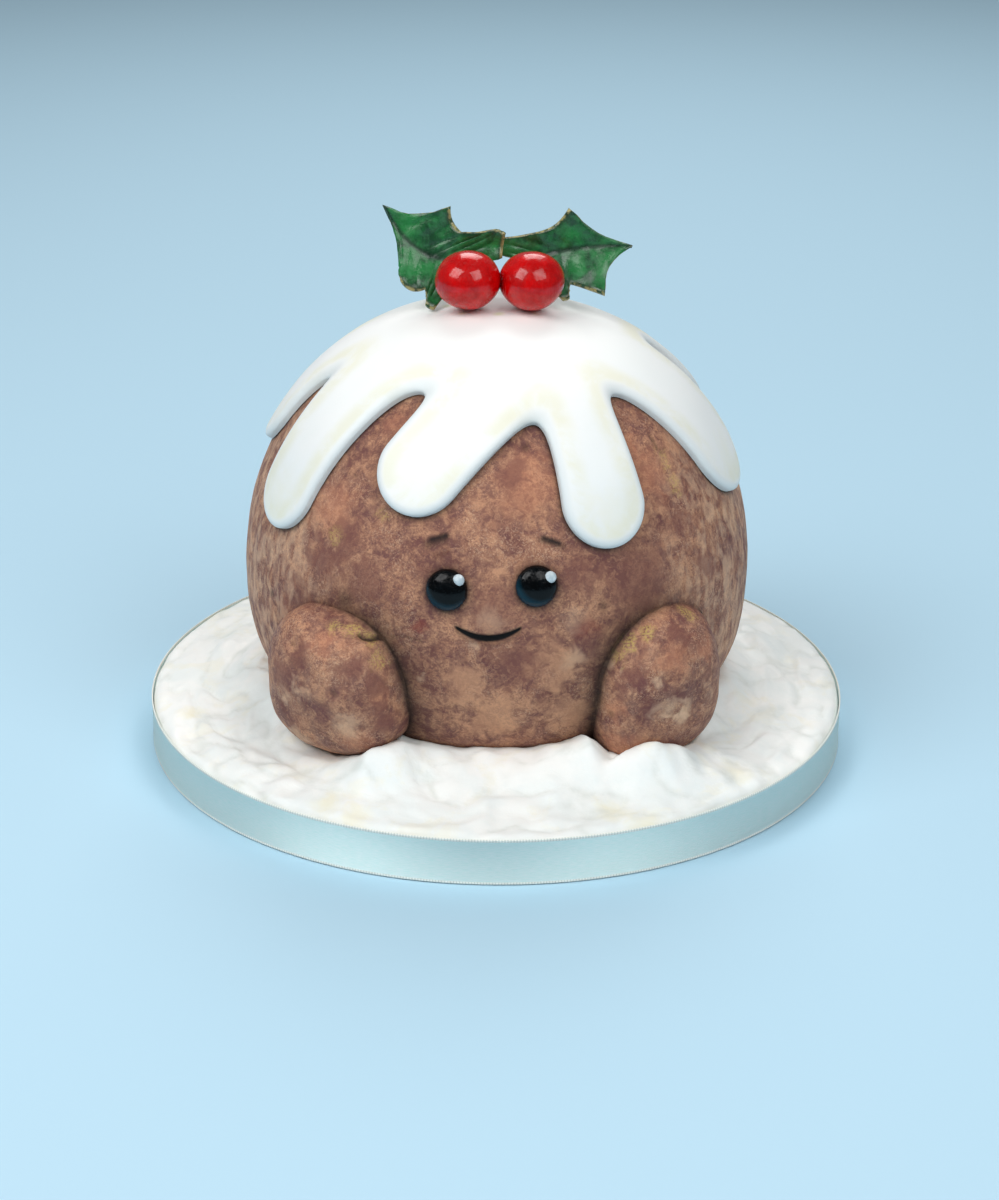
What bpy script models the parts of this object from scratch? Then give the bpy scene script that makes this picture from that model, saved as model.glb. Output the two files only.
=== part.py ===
"""Christmas pudding cake on its iced drum board.

A ball-shaped sponge cake is covered in mottled brown sugar paste, so that it looks like a
steamed pudding.  White icing runs down it in drips, two red berries and two holly leaves sit
on top, and a carved smile, two glossy eyes and two lump-like feet give it a friendly face.
It stands in a layer of ruffled white paste on a nine-inch round drum with a satin ribbon.

Metres, +Z up.  The origin is the centre of the drum's underside, and the face looks to -Y.
"""

import math

import bmesh
import bpy
from mathutils import Matrix, Vector, geometry, noise

MM = 0.001

# ---- Driving dimensions ------------------------------------------------------------------

GAP = 0.3 * MM                    # left between pieces that touch

DRUM_RADIUS = 114.3 * MM          # a nine-inch drum board
DRUM_THICKNESS = 12.0 * MM
RIBBON_WIDTH = 15.0 * MM
RIBBON_THICKNESS = 0.4 * MM
RIBBON_LIFT = 0.3 * MM            # the ribbon's lower edge stays off the table
DRUM_SIDES = 96

SNOW_RIM = 15.6 * MM              # height of the paste at the drum's edge
SNOW_LEVEL = 17.4 * MM            # height of the paste round the pudding
SNOW_FOLD = 1.3 * MM              # depth of its ruffles
SNOW_FOLD_ACROSS = 9.0 * MM       # one ruffle to the next, outwards
SNOW_FOLD_ALONG = 30.0 * MM       # length of a ruffle, round the drum
SNOW_EDGE_ROUND = 2.6 * MM
# where the paste was pushed up: x, y, half length, half width, turn in degrees, height
SNOW_DRIFTS = (
    (27.0 * MM, -63.0 * MM, 10.0 * MM, 5.0 * MM, 20.0, 5.5 * MM),
    (47.0 * MM, -73.0 * MM, 13.0 * MM, 6.0 * MM, 25.0, 5.0 * MM),
    (-28.0 * MM, -65.0 * MM, 8.0 * MM, 4.5 * MM, -15.0, 3.5 * MM),
    (0.0 * MM, -96.0 * MM, 34.0 * MM, 4.5 * MM, 0.0, 2.4 * MM),
    (-68.0 * MM, -66.0 * MM, 20.0 * MM, 6.0 * MM, -45.0, 1.8 * MM),
    (84.0 * MM, -40.0 * MM, 22.0 * MM, 5.0 * MM, 62.0, 2.2 * MM),
    (92.0 * MM, 24.0 * MM, 20.0 * MM, 6.0 * MM, 100.0, 2.0 * MM),
    (-90.0 * MM, 22.0 * MM, 20.0 * MM, 6.0 * MM, -100.0, 2.2 * MM),
    (38.0 * MM, 84.0 * MM, 24.0 * MM, 6.0 * MM, 156.0, 2.2 * MM),
    (-44.0 * MM, 80.0 * MM, 22.0 * MM, 6.0 * MM, 30.0, 1.8 * MM),
)

PUDDING_BASE = 16.5 * MM          # height of its flat underside
PUDDING_WAIST = 61.0 * MM         # height of its widest place
PUDDING_TOP = 143.0 * MM
PUDDING_RADIUS = 82.3 * MM
BASE_FLAT_RADIUS = 44.0 * MM
CROWN_SQUARENESS = (1.98, 2.27)   # superellipse powers above the waist: height, radius
FOOT_SQUARENESS = (2.4, 7.0)      # and below it, where the side stays nearly upright
PUDDING_SIDES = 44

ICING_TOP = 3.3 * MM              # height of the icing's face above the pudding
ICING_UNDERSIDE = 0.5 * MM        # the icing's back stays this far off the pudding
ICING_LIP = 0.45                  # share of its thickness that stands up at the very edge
ICING_EDGE_ROUND = 2.4 * MM
ICING_CROWN_ARC = 46.0 * MM       # the drips leave the crown here, measured down the curve
ICING_WEB = 4.4 * MM              # how softly a drip joins its neighbours
# azimuth in degrees (0 is the face, + to the right), reach down the curve, half width of
# the drip's end, how far its root is off to the right, half width of its root
ICING_DRIPS = (
    (-92.6, 89.8 * MM, 13.0 * MM, 0.0 * MM, 15.0 * MM),
    (-59.6, 105.6 * MM, 13.5 * MM, 6.0 * MM, 15.1 * MM),
    (-20.3, 89.9 * MM, 13.7 * MM, 17.4 * MM, 14.7 * MM),
    (26.4, 100.1 * MM, 13.4 * MM, 0.2 * MM, 10.3 * MM),
    (75.5, 99.1 * MM, 18.2 * MM, -8.0 * MM, 18.0 * MM),
    (118.0, 86.0 * MM, 13.5 * MM, 3.0 * MM, 14.0 * MM),
    (157.0, 103.0 * MM, 13.5 * MM, -4.0 * MM, 12.5 * MM),
    (198.0, 88.0 * MM, 14.5 * MM, 5.0 * MM, 15.0 * MM),
    (233.5, 100.0 * MM, 12.5 * MM, -2.0 * MM, 12.0 * MM),
)
ICING_STEP = 4.2 * MM             # length of an outline's side
ICING_CELL = 9.0 * MM             # size of the triangles inside the outline

EYE_RADIUS = 6.15 * MM
EYE_BULGE = 3.6 * MM
EYES = {"eye_left": (-15.0 * MM, 80.7 * MM), "eye_right": (12.0 * MM, 81.9 * MM)}
EYE_DOT_RADIUS = 1.9 * MM
EYE_DOT_BULGE = 1.1 * MM
EYE_DOT_OFFSET = (3.3 * MM, 3.0 * MM)   # to the right of the eye's middle, and above it

SMILE_ENDS = (-12.2 * MM, 7.3 * MM)
SMILE_CORNER_HEIGHT = 69.4 * MM
SMILE_SAG = 3.3 * MM
SMILE_WIDTH = 1.8 * MM
SMILE_POINTS = 17

# azimuth, turn, roll in degrees; distance from the axis; height; half width and half height
FEET = {
    "foot_left": (-37.3, -40.0, 2.0, 79.5 * MM, 43.8 * MM, 24.2 * MM, 25.7 * MM),
    "foot_right": (38.8, 40.0, -1.0, 77.0 * MM, 43.6 * MM, 22.1 * MM, 26.0 * MM),
}
FOOT_HALF_DEPTH = 18.0 * MM
FOOT_LEAN = 8.0                   # degrees, top outwards, like the pudding's side there
FOOT_TAPER = 0.08                 # narrower at the top
FOOT_ROUNDNESS = 0.82             # under 1 is squarer than an ellipsoid
FOOT_SOLE = 17.3 * MM             # height of its flat bottom

BERRY_RADIUS = 10.2 * MM
BERRY_HALF_HEIGHT = 9.2 * MM
BERRY_CENTRES = {
    "berry_left": (-10.35 * MM, -5.0 * MM, 155.5 * MM),
    "berry_right": (10.35 * MM, -5.0 * MM, 155.5 * MM),
}

LEAF_THICKNESS = 1.2 * MM
LEAF_LEAN = 23.0                  # degrees from upright, tops away from the face
LEAF_VALLEY = 2.6 * MM            # how far the wings rise from the midrib
LEAF_CURL = 1.5 * MM              # how far the turning points rise past the wings
LEAF_CURL_REACH = 4.0 * MM
LEAF_STEM_HALF = 1.3 * MM
LEAF_ARC_SAMPLES = 4
LEAF_ROWS = 3                     # from the midrib to the edge
LEAF_VEIN_SWEEP = 1.6             # over 1 crowds the side veins towards the stem
# stem's place, the angle of the midrib above level, how far the midrib bows upwards, and the
# edge's turning points in mm, from the stem's upper side round the tip to its lower side: along
# the midrib, above it, and how hollow the edge is from there to the next one towards the tip
LEAVES = {
    "leaf_left": (
        (-9.7 * MM, 8.1 * MM, 157.8 * MM),
        146.7,
        -4.5 * MM,
        ((-2.7, 13.9, -1.4), (7.0, 6.2, 1.1), (14.8, 11.1, 1.8), (32.2, -0.4, 0.0),
         (13.0, -17.8, 1.4), (8.0, -10.5, -2.0), (4.5, -18.2, -0.5)),
    ),
    "leaf_right": (
        (7.8 * MM, 8.2 * MM, 157.9 * MM),
        7.9,
        2.0 * MM,
        ((-6.5, 8.5, 0.2), (6.0, 8.2, 1.1), (16.4, 14.3, 1.9), (34.7, 0.4, 0.0),
         (23.9, -14.8, 3.0), (13.7, -9.2, 0.0), (12.5, -14.6, -1.6)),
    ),
}

# name: base colour, roughness, metallic
FINISHES = {
    "drum_foil": ((0.72, 0.74, 0.76), 0.35, 0.6),
    "satin_ribbon": ((0.62, 0.78, 0.82), 0.32, 0.0),
    "snow_paste": ((0.86, 0.88, 0.86), 0.6, 0.0),
    "pudding_paste": ((0.28, 0.14, 0.10), 0.65, 0.0),
    "white_icing": ((0.93, 0.93, 0.91), 0.5, 0.0),
    "black_gloss": ((0.004, 0.006, 0.008), 0.08, 0.0),
    "eye_white": ((0.85, 0.88, 0.90), 0.3, 0.0),
    "berry_red": ((0.45, 0.004, 0.006), 0.15, 0.0),
    "holly_green": ((0.02, 0.11, 0.03), 0.4, 0.0),
}


# ---- Small helpers -----------------------------------------------------------------------

def clear_scene():
    for thing in list(bpy.data.objects):
        bpy.data.objects.remove(thing, do_unlink=True)


def finish(name):
    """The named finish, made once."""
    made = bpy.data.materials.get(name)
    if made:
        return made
    colour, roughness, metallic = FINISHES[name]
    made = bpy.data.materials.new(name)
    made.use_nodes = True
    shader = made.node_tree.nodes["Principled BSDF"]
    shader.inputs["Base Color"].default_value = (*colour, 1.0)
    shader.inputs["Roughness"].default_value = roughness
    shader.inputs["Metallic"].default_value = metallic
    return made


def add_object(name, bm, finish_name, sharp_angle=40.0):
    """Turns a bmesh into a named, smooth-shaded object."""
    bmesh.ops.recalc_face_normals(bm, faces=bm.faces)
    mesh = bpy.data.meshes.new(name)
    bm.to_mesh(mesh)
    bm.free()
    mesh.shade_smooth()
    mesh.set_sharp_from_angle(angle=math.radians(sharp_angle))
    mesh.materials.append(finish(finish_name))
    thing = bpy.data.objects.new(name, mesh)
    bpy.context.scene.collection.objects.link(thing)
    return thing


def make_cutter(name, bm):
    """A shape that only cuts others."""
    cutter = add_object(name, bm, "pudding_paste")
    cutter.hide_render = True
    cutter.display_type = "WIRE"
    return cutter


def cut(thing, cutter):
    boolean = thing.modifiers.new("cut_" + cutter.name, "BOOLEAN")
    boolean.operation = "DIFFERENCE"
    boolean.solver = "EXACT"
    boolean.object = cutter


def spun(profile, sides):
    """Spins a line of (radius, height) points into a closed round solid."""
    bm = bmesh.new()
    line = [bm.verts.new((radius, 0.0, height)) for radius, height in profile]
    edges = [bm.edges.new(pair) for pair in zip(line, line[1:])]
    bmesh.ops.spin(bm, geom=line + edges, cent=(0, 0, 0), axis=(0, 0, 1),
                   angle=2 * math.pi, steps=sides, use_merge=True)
    bmesh.ops.remove_doubles(bm, verts=bm.verts, dist=0.01 * MM)
    bmesh.ops.holes_fill(bm, edges=bm.edges, sides=0)
    return bm


# ---- The pudding's curve -----------------------------------------------------------------

def crown_point(turn):
    """Above the waist: turn 0 is the top, a quarter turn is the waist."""
    tall, wide = CROWN_SQUARENESS
    radius = PUDDING_RADIUS * math.sin(turn) ** (2 / wide)
    height = PUDDING_WAIST + (PUDDING_TOP - PUDDING_WAIST) * math.cos(turn) ** (2 / tall)
    return radius, height


def flank_point(turn):
    """Below the waist: turn 0 is the waist, a quarter turn the middle of the base."""
    tall, wide = FOOT_SQUARENESS
    radius = PUDDING_RADIUS * math.cos(turn) ** (2 / wide)
    height = PUDDING_WAIST - (PUDDING_WAIST - PUDDING_BASE) * math.sin(turn) ** (2 / tall)
    return radius, height


def pudding_profile(crown_rows, flank_rows, grow=0.0):
    """Points down the pudding's side, moved outwards by grow."""
    flank_end = math.radians(77.0)
    quarter = math.pi / 2
    points = [crown_point(quarter * i / crown_rows) for i in range(crown_rows)]
    points += [flank_point(flank_end * i / flank_rows) for i in range(flank_rows + 1)]
    points.append((BASE_FLAT_RADIUS, PUDDING_BASE))
    moved = [(0.0, PUDDING_TOP + grow)]
    for before, here, after in zip(points, points[1:], points[2:]):
        along = Vector(after) - Vector(before)
        outward = Vector((-along.y, along.x)).normalized()
        moved.append((here[0] + grow * outward.x, here[1] + grow * outward.y))
    moved.append((BASE_FLAT_RADIUS, PUDDING_BASE - grow))
    return moved


FINE_ROWS = 240
FINE_PROFILE = pudding_profile(FINE_ROWS, FINE_ROWS // 2)
ARC_LENGTHS = [0.0]
for upper, lower in zip(FINE_PROFILE, FINE_PROFILE[1:]):
    ARC_LENGTHS.append(ARC_LENGTHS[-1] + math.dist(upper, lower))


def down_the_curve(arc):
    """Radius, height and outward slope of the pudding's side, an arc's length from the top."""
    low, high = 0, len(ARC_LENGTHS) - 1
    while high - low > 1:
        middle = (low + high) // 2
        if ARC_LENGTHS[middle] > arc:
            high = middle
        else:
            low = middle
    share = (arc - ARC_LENGTHS[low]) / (ARC_LENGTHS[high] - ARC_LENGTHS[low])
    start = Vector(FINE_PROFILE[low])
    along = Vector(FINE_PROFILE[high]) - start
    place = start + along * share
    outward = Vector((-along.y, along.x)).normalized()
    return place, outward


def on_pudding(azimuth, arc, lift):
    """A point over the pudding: azimuth in radians from the face, arc from the top."""
    place, outward = down_the_curve(arc)
    radius = place.x + outward.x * lift
    height = place.y + outward.y * lift
    return Vector((radius * math.sin(azimuth), -radius * math.cos(azimuth), height))


def side_radius(height):
    """The pudding's radius at a height."""
    for (wide_a, high_a), (wide_b, high_b) in zip(FINE_PROFILE, FINE_PROFILE[1:]):
        if high_b <= height <= high_a:
            share = (high_a - height) / (high_a - high_b)
            return wide_a + (wide_b - wide_a) * share
    return 0.0


def face_frame(x, height):
    """A frame on the front of the pudding: X to the right, -Y outwards, Z up the curve."""
    radius = side_radius(height)
    azimuth = math.asin(x / radius)
    step = 1.0 * MM
    slope = math.atan2(side_radius(height - step) - side_radius(height + step), 2 * step)
    place = Matrix.Translation((x, -radius * math.cos(azimuth), height))
    turn = Matrix.Rotation(azimuth, 4, "Z")
    lean = Matrix.Rotation(-slope, 4, "X")
    return place @ turn @ lean


# ---- Drum, ribbon and the paste on the drum ----------------------------------------------

def make_drum():
    profile = ((0.0, 0.0), (DRUM_RADIUS, 0.0), (DRUM_RADIUS, DRUM_THICKNESS), (0.0, DRUM_THICKNESS))
    return add_object("cake_board", spun(profile, DRUM_SIDES), "drum_foil")


def make_ribbon():
    inner = DRUM_RADIUS + GAP
    outer = inner + RIBBON_THICKNESS
    top = RIBBON_LIFT + RIBBON_WIDTH
    loop = ((inner, RIBBON_LIFT), (outer, RIBBON_LIFT), (outer, top), (inner, top))
    return add_object("ribbon", spun(loop + loop[:1], DRUM_SIDES), "satin_ribbon")


def drift_height(x, y, drift):
    """How much one pushed-up ridge adds."""
    middle_x, middle_y, half_length, half_width, turn, height = drift
    angle = math.radians(turn)
    along = (x - middle_x) * math.cos(angle) + (y - middle_y) * math.sin(angle)
    across = (y - middle_y) * math.cos(angle) - (x - middle_x) * math.sin(angle)
    return height * math.exp(-(along / half_length) ** 2 - (across / half_width) ** 2)


def snow_height(x, y):
    """Height of the ruffled paste over the table."""
    radius = math.hypot(x, y)
    azimuth = math.atan2(y, x)
    outwards = min(max((radius - PUDDING_RADIUS) / (DRUM_RADIUS - PUDDING_RADIUS), 0.0), 1.0)
    level = SNOW_LEVEL + (SNOW_RIM - SNOW_LEVEL) * outwards ** 2
    twist = DRUM_RADIUS / SNOW_FOLD_ALONG
    ruffle = noise.noise((radius / SNOW_FOLD_ACROSS,
                          twist * math.cos(azimuth), twist * math.sin(azimuth)))
    calm = 1.0 - 0.7 * outwards ** 4
    level += SNOW_FOLD * calm * ruffle
    for drift in SNOW_DRIFTS:
        level += drift_height(x, y, drift)
    to_edge = DRUM_RADIUS - radius
    if to_edge < SNOW_EDGE_ROUND:
        level -= SNOW_EDGE_ROUND * 0.6 * (1.0 - to_edge / SNOW_EDGE_ROUND) ** 2
    return level


def make_snow(cutters):
    underside = DRUM_THICKNESS + GAP
    rings = [DRUM_RADIUS * share for share in
             (0.22, 0.44, 0.53, 0.58, 0.63, 0.68, 0.73, 0.78, 0.83, 0.88, 0.925, 0.96, 0.985, 1.0)]
    profile = [(0.0, SNOW_RIM)] + [(radius, SNOW_RIM) for radius in rings]
    profile += [(DRUM_RADIUS, underside), (0.0, underside)]
    bm = spun(profile, DRUM_SIDES)
    for vertex in bm.verts:
        if vertex.co.z > underside + GAP:
            vertex.co.z = snow_height(vertex.co.x, vertex.co.y)
    snow = add_object("snow_icing", bm, "snow_paste")
    for cutter in cutters:
        cut(snow, cutter)
    return snow


# ---- Pudding -----------------------------------------------------------------------------

def pudding_shape(grow=0.0):
    return spun(pudding_profile(12, 8, grow), PUDDING_SIDES)


def smile_cutter():
    """A tapered round rod bent along the smile."""
    left, right = SMILE_ENDS
    curve = bpy.data.curves.new("smile_path", "CURVE")
    curve.dimensions = "3D"
    curve.bevel_depth = SMILE_WIDTH / 2
    curve.bevel_resolution = 2
    curve.use_fill_caps = True
    path = curve.splines.new("POLY")
    path.points.add(SMILE_POINTS - 1)
    for i, point in enumerate(path.points):
        share = 2 * i / (SMILE_POINTS - 1) - 1
        x = (left + right) / 2 + (right - left) / 2 * share
        height = SMILE_CORNER_HEIGHT - SMILE_SAG * (1 - share ** 2)
        radius = side_radius(height)
        point.co = (x, -math.sqrt(radius ** 2 - x ** 2), height, 1.0)
        point.radius = 0.25 + 0.75 * math.sqrt(max(0.0, 1 - share ** 2))
    rod = bpy.data.objects.new("smile_path", curve)
    bpy.context.scene.collection.objects.link(rod)
    solid = bpy.data.meshes.new_from_object(rod.evaluated_get(bpy.context.evaluated_depsgraph_get()))
    bpy.data.objects.remove(rod, do_unlink=True)
    bm = bmesh.new()
    bm.from_mesh(solid)
    bpy.data.meshes.remove(solid)
    bmesh.ops.remove_doubles(bm, verts=bm.verts, dist=0.01 * MM)
    return make_cutter("smile_cutter", bm)


def make_pudding():
    pudding = add_object("pudding", pudding_shape(), "pudding_paste")
    cut(pudding, smile_cutter())
    return pudding


# ---- Poured icing ------------------------------------------------------------------------

def drip_distance(azimuth, arc, around, drip):
    """Distance to a drip's rounded edge, negative inside it."""
    aim, reach, end_half, root_shift, root_half = drip
    off = math.remainder(azimuth - math.radians(aim), 2 * math.pi)
    here = Vector((around * off, arc))
    root = Vector((root_shift, ICING_CROWN_ARC))
    run = Vector((0.0, reach - end_half)) - root
    share = min(max((here - root).dot(run) / run.length_squared, 0.0), 1.0)
    return (here - root - run * share).length - (root_half + (end_half - root_half) * share)


def icing_depth(flat):
    """How far a place of the flat sheet lies inside the icing's edge."""
    arc = flat.length
    azimuth = math.atan2(flat.x, -flat.y)
    around = down_the_curve(arc)[0].x
    distances = [arc - ICING_CROWN_ARC]
    distances += [drip_distance(azimuth, arc, around, drip) for drip in ICING_DRIPS]
    nearest = min(distances)
    blend = sum(math.exp((nearest - distance) / ICING_WEB) for distance in distances)
    return ICING_WEB * math.log(blend) - nearest


def uphill(flat):
    """The direction in which the depth grows, with its rate."""
    step = 0.1 * MM
    east = icing_depth(flat + Vector((step, 0))) - icing_depth(flat - Vector((step, 0)))
    north = icing_depth(flat + Vector((0, step))) - icing_depth(flat - Vector((0, step)))
    return Vector((east, north)) / (2 * step)


def icing_outline(depth):
    """Walks once round the icing at an even depth inside its edge."""
    place = Vector((0.0, -ICING_CROWN_ARC))
    walked = []
    while len(walked) < 8 or (place - walked[0]).length > 0.75 * ICING_STEP:
        for _ in range(5):
            slope = uphill(place)
            place = place + slope * (depth - icing_depth(place)) / slope.length_squared
        walked.append(place)
        slope = uphill(place).normalized()
        place = place + Vector((slope.y, -slope.x)) * ICING_STEP
    return walked


def icing_lift(depth):
    """Height of the icing's face over the pudding, rounded down towards its edge."""
    share = min(max(depth / ICING_EDGE_ROUND, 0.0), 1.0)
    round_edge = math.sqrt(1.0 - (1.0 - share) ** 2)
    thickness = ICING_TOP - ICING_UNDERSIDE
    return ICING_UNDERSIDE + thickness * (ICING_LIP + (1.0 - ICING_LIP) * round_edge)


def make_icing():
    """The icing is laid out flat, cut to its outline and wrapped over the pudding."""
    shoulder_depth = 0.6 * ICING_EDGE_ROUND
    edge = icing_outline(0.0)
    shoulder = icing_outline(shoulder_depth)
    reach = max(drip[1] for drip in ICING_DRIPS)
    cells = int(reach / ICING_CELL)
    places = edge + shoulder
    for row in range(-cells, cells + 1):
        for column in range(-cells, cells + 1):
            stagger = 0.5 * (row % 2)
            flat = Vector(((column + stagger) * ICING_CELL, row * ICING_CELL * 0.87))
            if flat.length < reach and icing_depth(flat) > shoulder_depth + 0.4 * ICING_CELL:
                places.append(flat)
    loops = []
    start = 0
    for ring in (edge, shoulder):
        loops += [(start + i, start + (i + 1) % len(ring)) for i in range(len(ring))]
        start += len(ring)
    corners, _, triangles, *_ = geometry.delaunay_2d_cdt(places, loops, [], 1, 0.001 * MM)

    bm = bmesh.new()
    layers = []
    for is_face in (False, True):
        layer = []
        for flat in corners:
            lift = icing_lift(icing_depth(flat)) if is_face else ICING_UNDERSIDE
            azimuth = math.atan2(flat.x, -flat.y)
            layer.append(bm.verts.new(on_pudding(azimuth, flat.length, lift)))
        for triangle in triangles:
            bm.faces.new([layer[i] for i in triangle])
        layers.append(layer)
    rims = [side for side in bm.edges if side.is_boundary]
    bmesh.ops.bridge_loops(bm, edges=rims)
    return add_object("icing_cap", bm, "white_icing")


# ---- Face and feet -----------------------------------------------------------------------

def dome_shape(radius, bulge, frame, sides=20, rows=12, grow=0.0):
    """A lens-like dome that stands out along the frame's -Y."""
    bm = bmesh.new()
    bmesh.ops.create_uvsphere(bm, u_segments=sides, v_segments=rows, radius=1.0)
    size = Matrix.Diagonal((radius + grow, bulge + grow, radius + grow, 1.0))
    bmesh.ops.transform(bm, matrix=frame @ size, verts=bm.verts)
    return bm


def make_eyes(pudding_clearance):
    for name, (x, height) in EYES.items():
        frame = face_frame(x, height)
        eye = add_object(name, dome_shape(EYE_RADIUS, EYE_BULGE, frame), "black_gloss")
        cut(eye, pudding_clearance)
        right, up = EYE_DOT_OFFSET
        out = EYE_BULGE * math.sqrt(1 - (right ** 2 + up ** 2) / EYE_RADIUS ** 2)
        dot_frame = frame @ Matrix.Translation((right, -out, up))
        dot_name = name.replace("eye", "eye_dot")
        dot_bm = dome_shape(EYE_DOT_RADIUS, EYE_DOT_BULGE, dot_frame, 12, 8)
        dot = add_object(dot_name, dot_bm, "eye_white")
        clearance_bm = dome_shape(EYE_RADIUS, EYE_BULGE, frame, grow=GAP)
        cut(dot, make_cutter(name + "_clearance", clearance_bm))


def foot_shape(name, grow=0.0):
    """A rounded lump with a flat sole on the paste."""
    azimuth, turn, roll, distance, height, half_width, half_height = FEET[name]
    aim = math.radians(azimuth)
    centre = Vector((distance * math.sin(aim), -distance * math.cos(aim), height))
    frame = (Matrix.Translation(centre)
             @ Matrix.Rotation(math.radians(turn), 4, "Z")
             @ Matrix.Rotation(math.radians(FOOT_LEAN), 4, "X")
             @ Matrix.Rotation(math.radians(roll), 4, "Y"))
    bm = bmesh.new()
    bmesh.ops.create_uvsphere(bm, u_segments=24, v_segments=14, radius=1.0)
    for vertex in bm.verts:
        x, y, z = (math.copysign(abs(c) ** FOOT_ROUNDNESS, c) for c in vertex.co)
        local = Vector((x * (half_width + grow) * (1 - FOOT_TAPER * z),
                        y * (FOOT_HALF_DEPTH + grow),
                        z * (half_height + grow)))
        vertex.co = frame @ local
        vertex.co.z = max(vertex.co.z, FOOT_SOLE - grow)
    return bm


def make_feet(pudding_clearance):
    """Both feet, and the shapes that press them into the paste."""
    hollows = []
    for name in FEET:
        foot = add_object(name, foot_shape(name), "pudding_paste")
        cut(foot, pudding_clearance)
        hollows.append(make_cutter(name + "_hollow", foot_shape(name, GAP)))
    return hollows


# ---- Berries and holly -------------------------------------------------------------------

def make_berries():
    for name, centre in BERRY_CENTRES.items():
        bm = bmesh.new()
        bmesh.ops.create_uvsphere(bm, u_segments=24, v_segments=14, radius=1.0)
        size = Matrix.Diagonal((BERRY_RADIUS, BERRY_RADIUS, BERRY_HALF_HEIGHT, 1.0))
        bmesh.ops.transform(bm, matrix=Matrix.Translation(centre) @ size, verts=bm.verts)
        add_object(name, bm, "berry_red")


def leaf_edge(turns):
    """One side of a leaf's edge, from the stem: arcs from each turning point to the next."""
    edge = []
    for (start, hollow), (end, _) in zip(turns, turns[1:]):
        chord = end - start
        inward = Vector((chord.y, -chord.x)).normalized()
        if inward.y * start.y > 0:
            inward = -inward
        for i in range(LEAF_ARC_SAMPLES):
            share = i / LEAF_ARC_SAMPLES
            edge.append(start + chord * share + inward * hollow * 4 * share * (1 - share))
    edge.append(turns[-1][0])
    return edge


def make_leaf(name):
    """A thin holly leaf: a valley along its midrib, and spines that curl up."""
    stem, rise, bow, turns_mm = LEAVES[name]
    turns = [(Vector((x, y)) * MM, hollow * MM) for x, y, hollow in turns_mm]
    tip = max(range(len(turns)), key=lambda i: turns[i][0].x)
    length = turns[tip][0].x
    half_span = max(abs(turn.y) for turn, _ in turns)
    lean = math.radians(LEAF_LEAN)
    up_the_leaf = Vector((0.0, math.sin(lean), math.cos(lean)))
    level = Vector((1.0, 0.0, 0.0))
    face = level.cross(up_the_leaf)
    cosine, sine = math.cos(math.radians(rise)), math.sin(math.radians(rise))
    along = level * cosine + up_the_leaf * sine
    across = up_the_leaf * abs(cosine) - level * math.copysign(sine, cosine)

    def midrib(x):
        share = min(max(x / length, 0.0), 1.0)
        return Vector((x, 4 * bow * share * (1 - share)))

    def place(spot):
        off_midrib = abs(spot.y - midrib(spot.x).y)
        curl = max(math.exp(-((spot - turn).length / LEAF_CURL_REACH) ** 2) for turn, _ in turns)
        lift = LEAF_VALLEY * (off_midrib / half_span) ** 1.2 + LEAF_CURL * curl
        return Vector(stem) + along * spot.x + across * spot.y + face * lift

    bm = bmesh.new()
    for side in (1, -1):
        stem_corner = (Vector((0.0, side * LEAF_STEM_HALF)), 0.0)
        half = turns[:tip + 1] if side > 0 else turns[tip:][::-1]
        edge = leaf_edge([stem_corner] + half)
        previous = None
        for i, spot in enumerate(edge):
            vein = midrib(length * (i / (len(edge) - 1)) ** LEAF_VEIN_SWEEP)
            line = [bm.verts.new(place(vein.lerp(spot, row / LEAF_ROWS)))
                    for row in range(LEAF_ROWS + 1)]
            if previous:
                for row in range(LEAF_ROWS):
                    bm.faces.new((previous[row], previous[row + 1], line[row + 1], line[row]))
            previous = line
    bmesh.ops.remove_doubles(bm, verts=bm.verts, dist=0.05 * MM)
    bmesh.ops.dissolve_degenerate(bm, edges=bm.edges, dist=0.05 * MM)
    bmesh.ops.triangulate(bm, faces=bm.faces)
    leaf = add_object(name, bm, "holly_green")
    solidify = leaf.modifiers.new("thickness", "SOLIDIFY")
    solidify.thickness = LEAF_THICKNESS
    solidify.offset = 0.0


# ---- The cake ----------------------------------------------------------------------------

def make_cake():
    clear_scene()
    pudding_clearance = make_cutter("pudding_clearance", pudding_shape(GAP))
    make_drum()
    make_ribbon()
    foot_hollows = make_feet(pudding_clearance)
    make_snow([pudding_clearance] + foot_hollows)
    make_pudding()
    make_icing()
    make_eyes(pudding_clearance)
    make_berries()
    for name in LEAVES:
        make_leaf(name)


make_cake()
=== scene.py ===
# %% [markdown]
# # A smiling christmas pudding cake
# The real cake is a ball of sponge under brown sugar paste that was dabbed and airbrushed until
# it looks like a steamed pudding.  White icing drips over it, and it sits in ruffled white paste
# on a nine-inch board with a satin ribbon.  The plain solids are loaded first, because every
# finer piece below has to sit exactly where its solid is.

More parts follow.
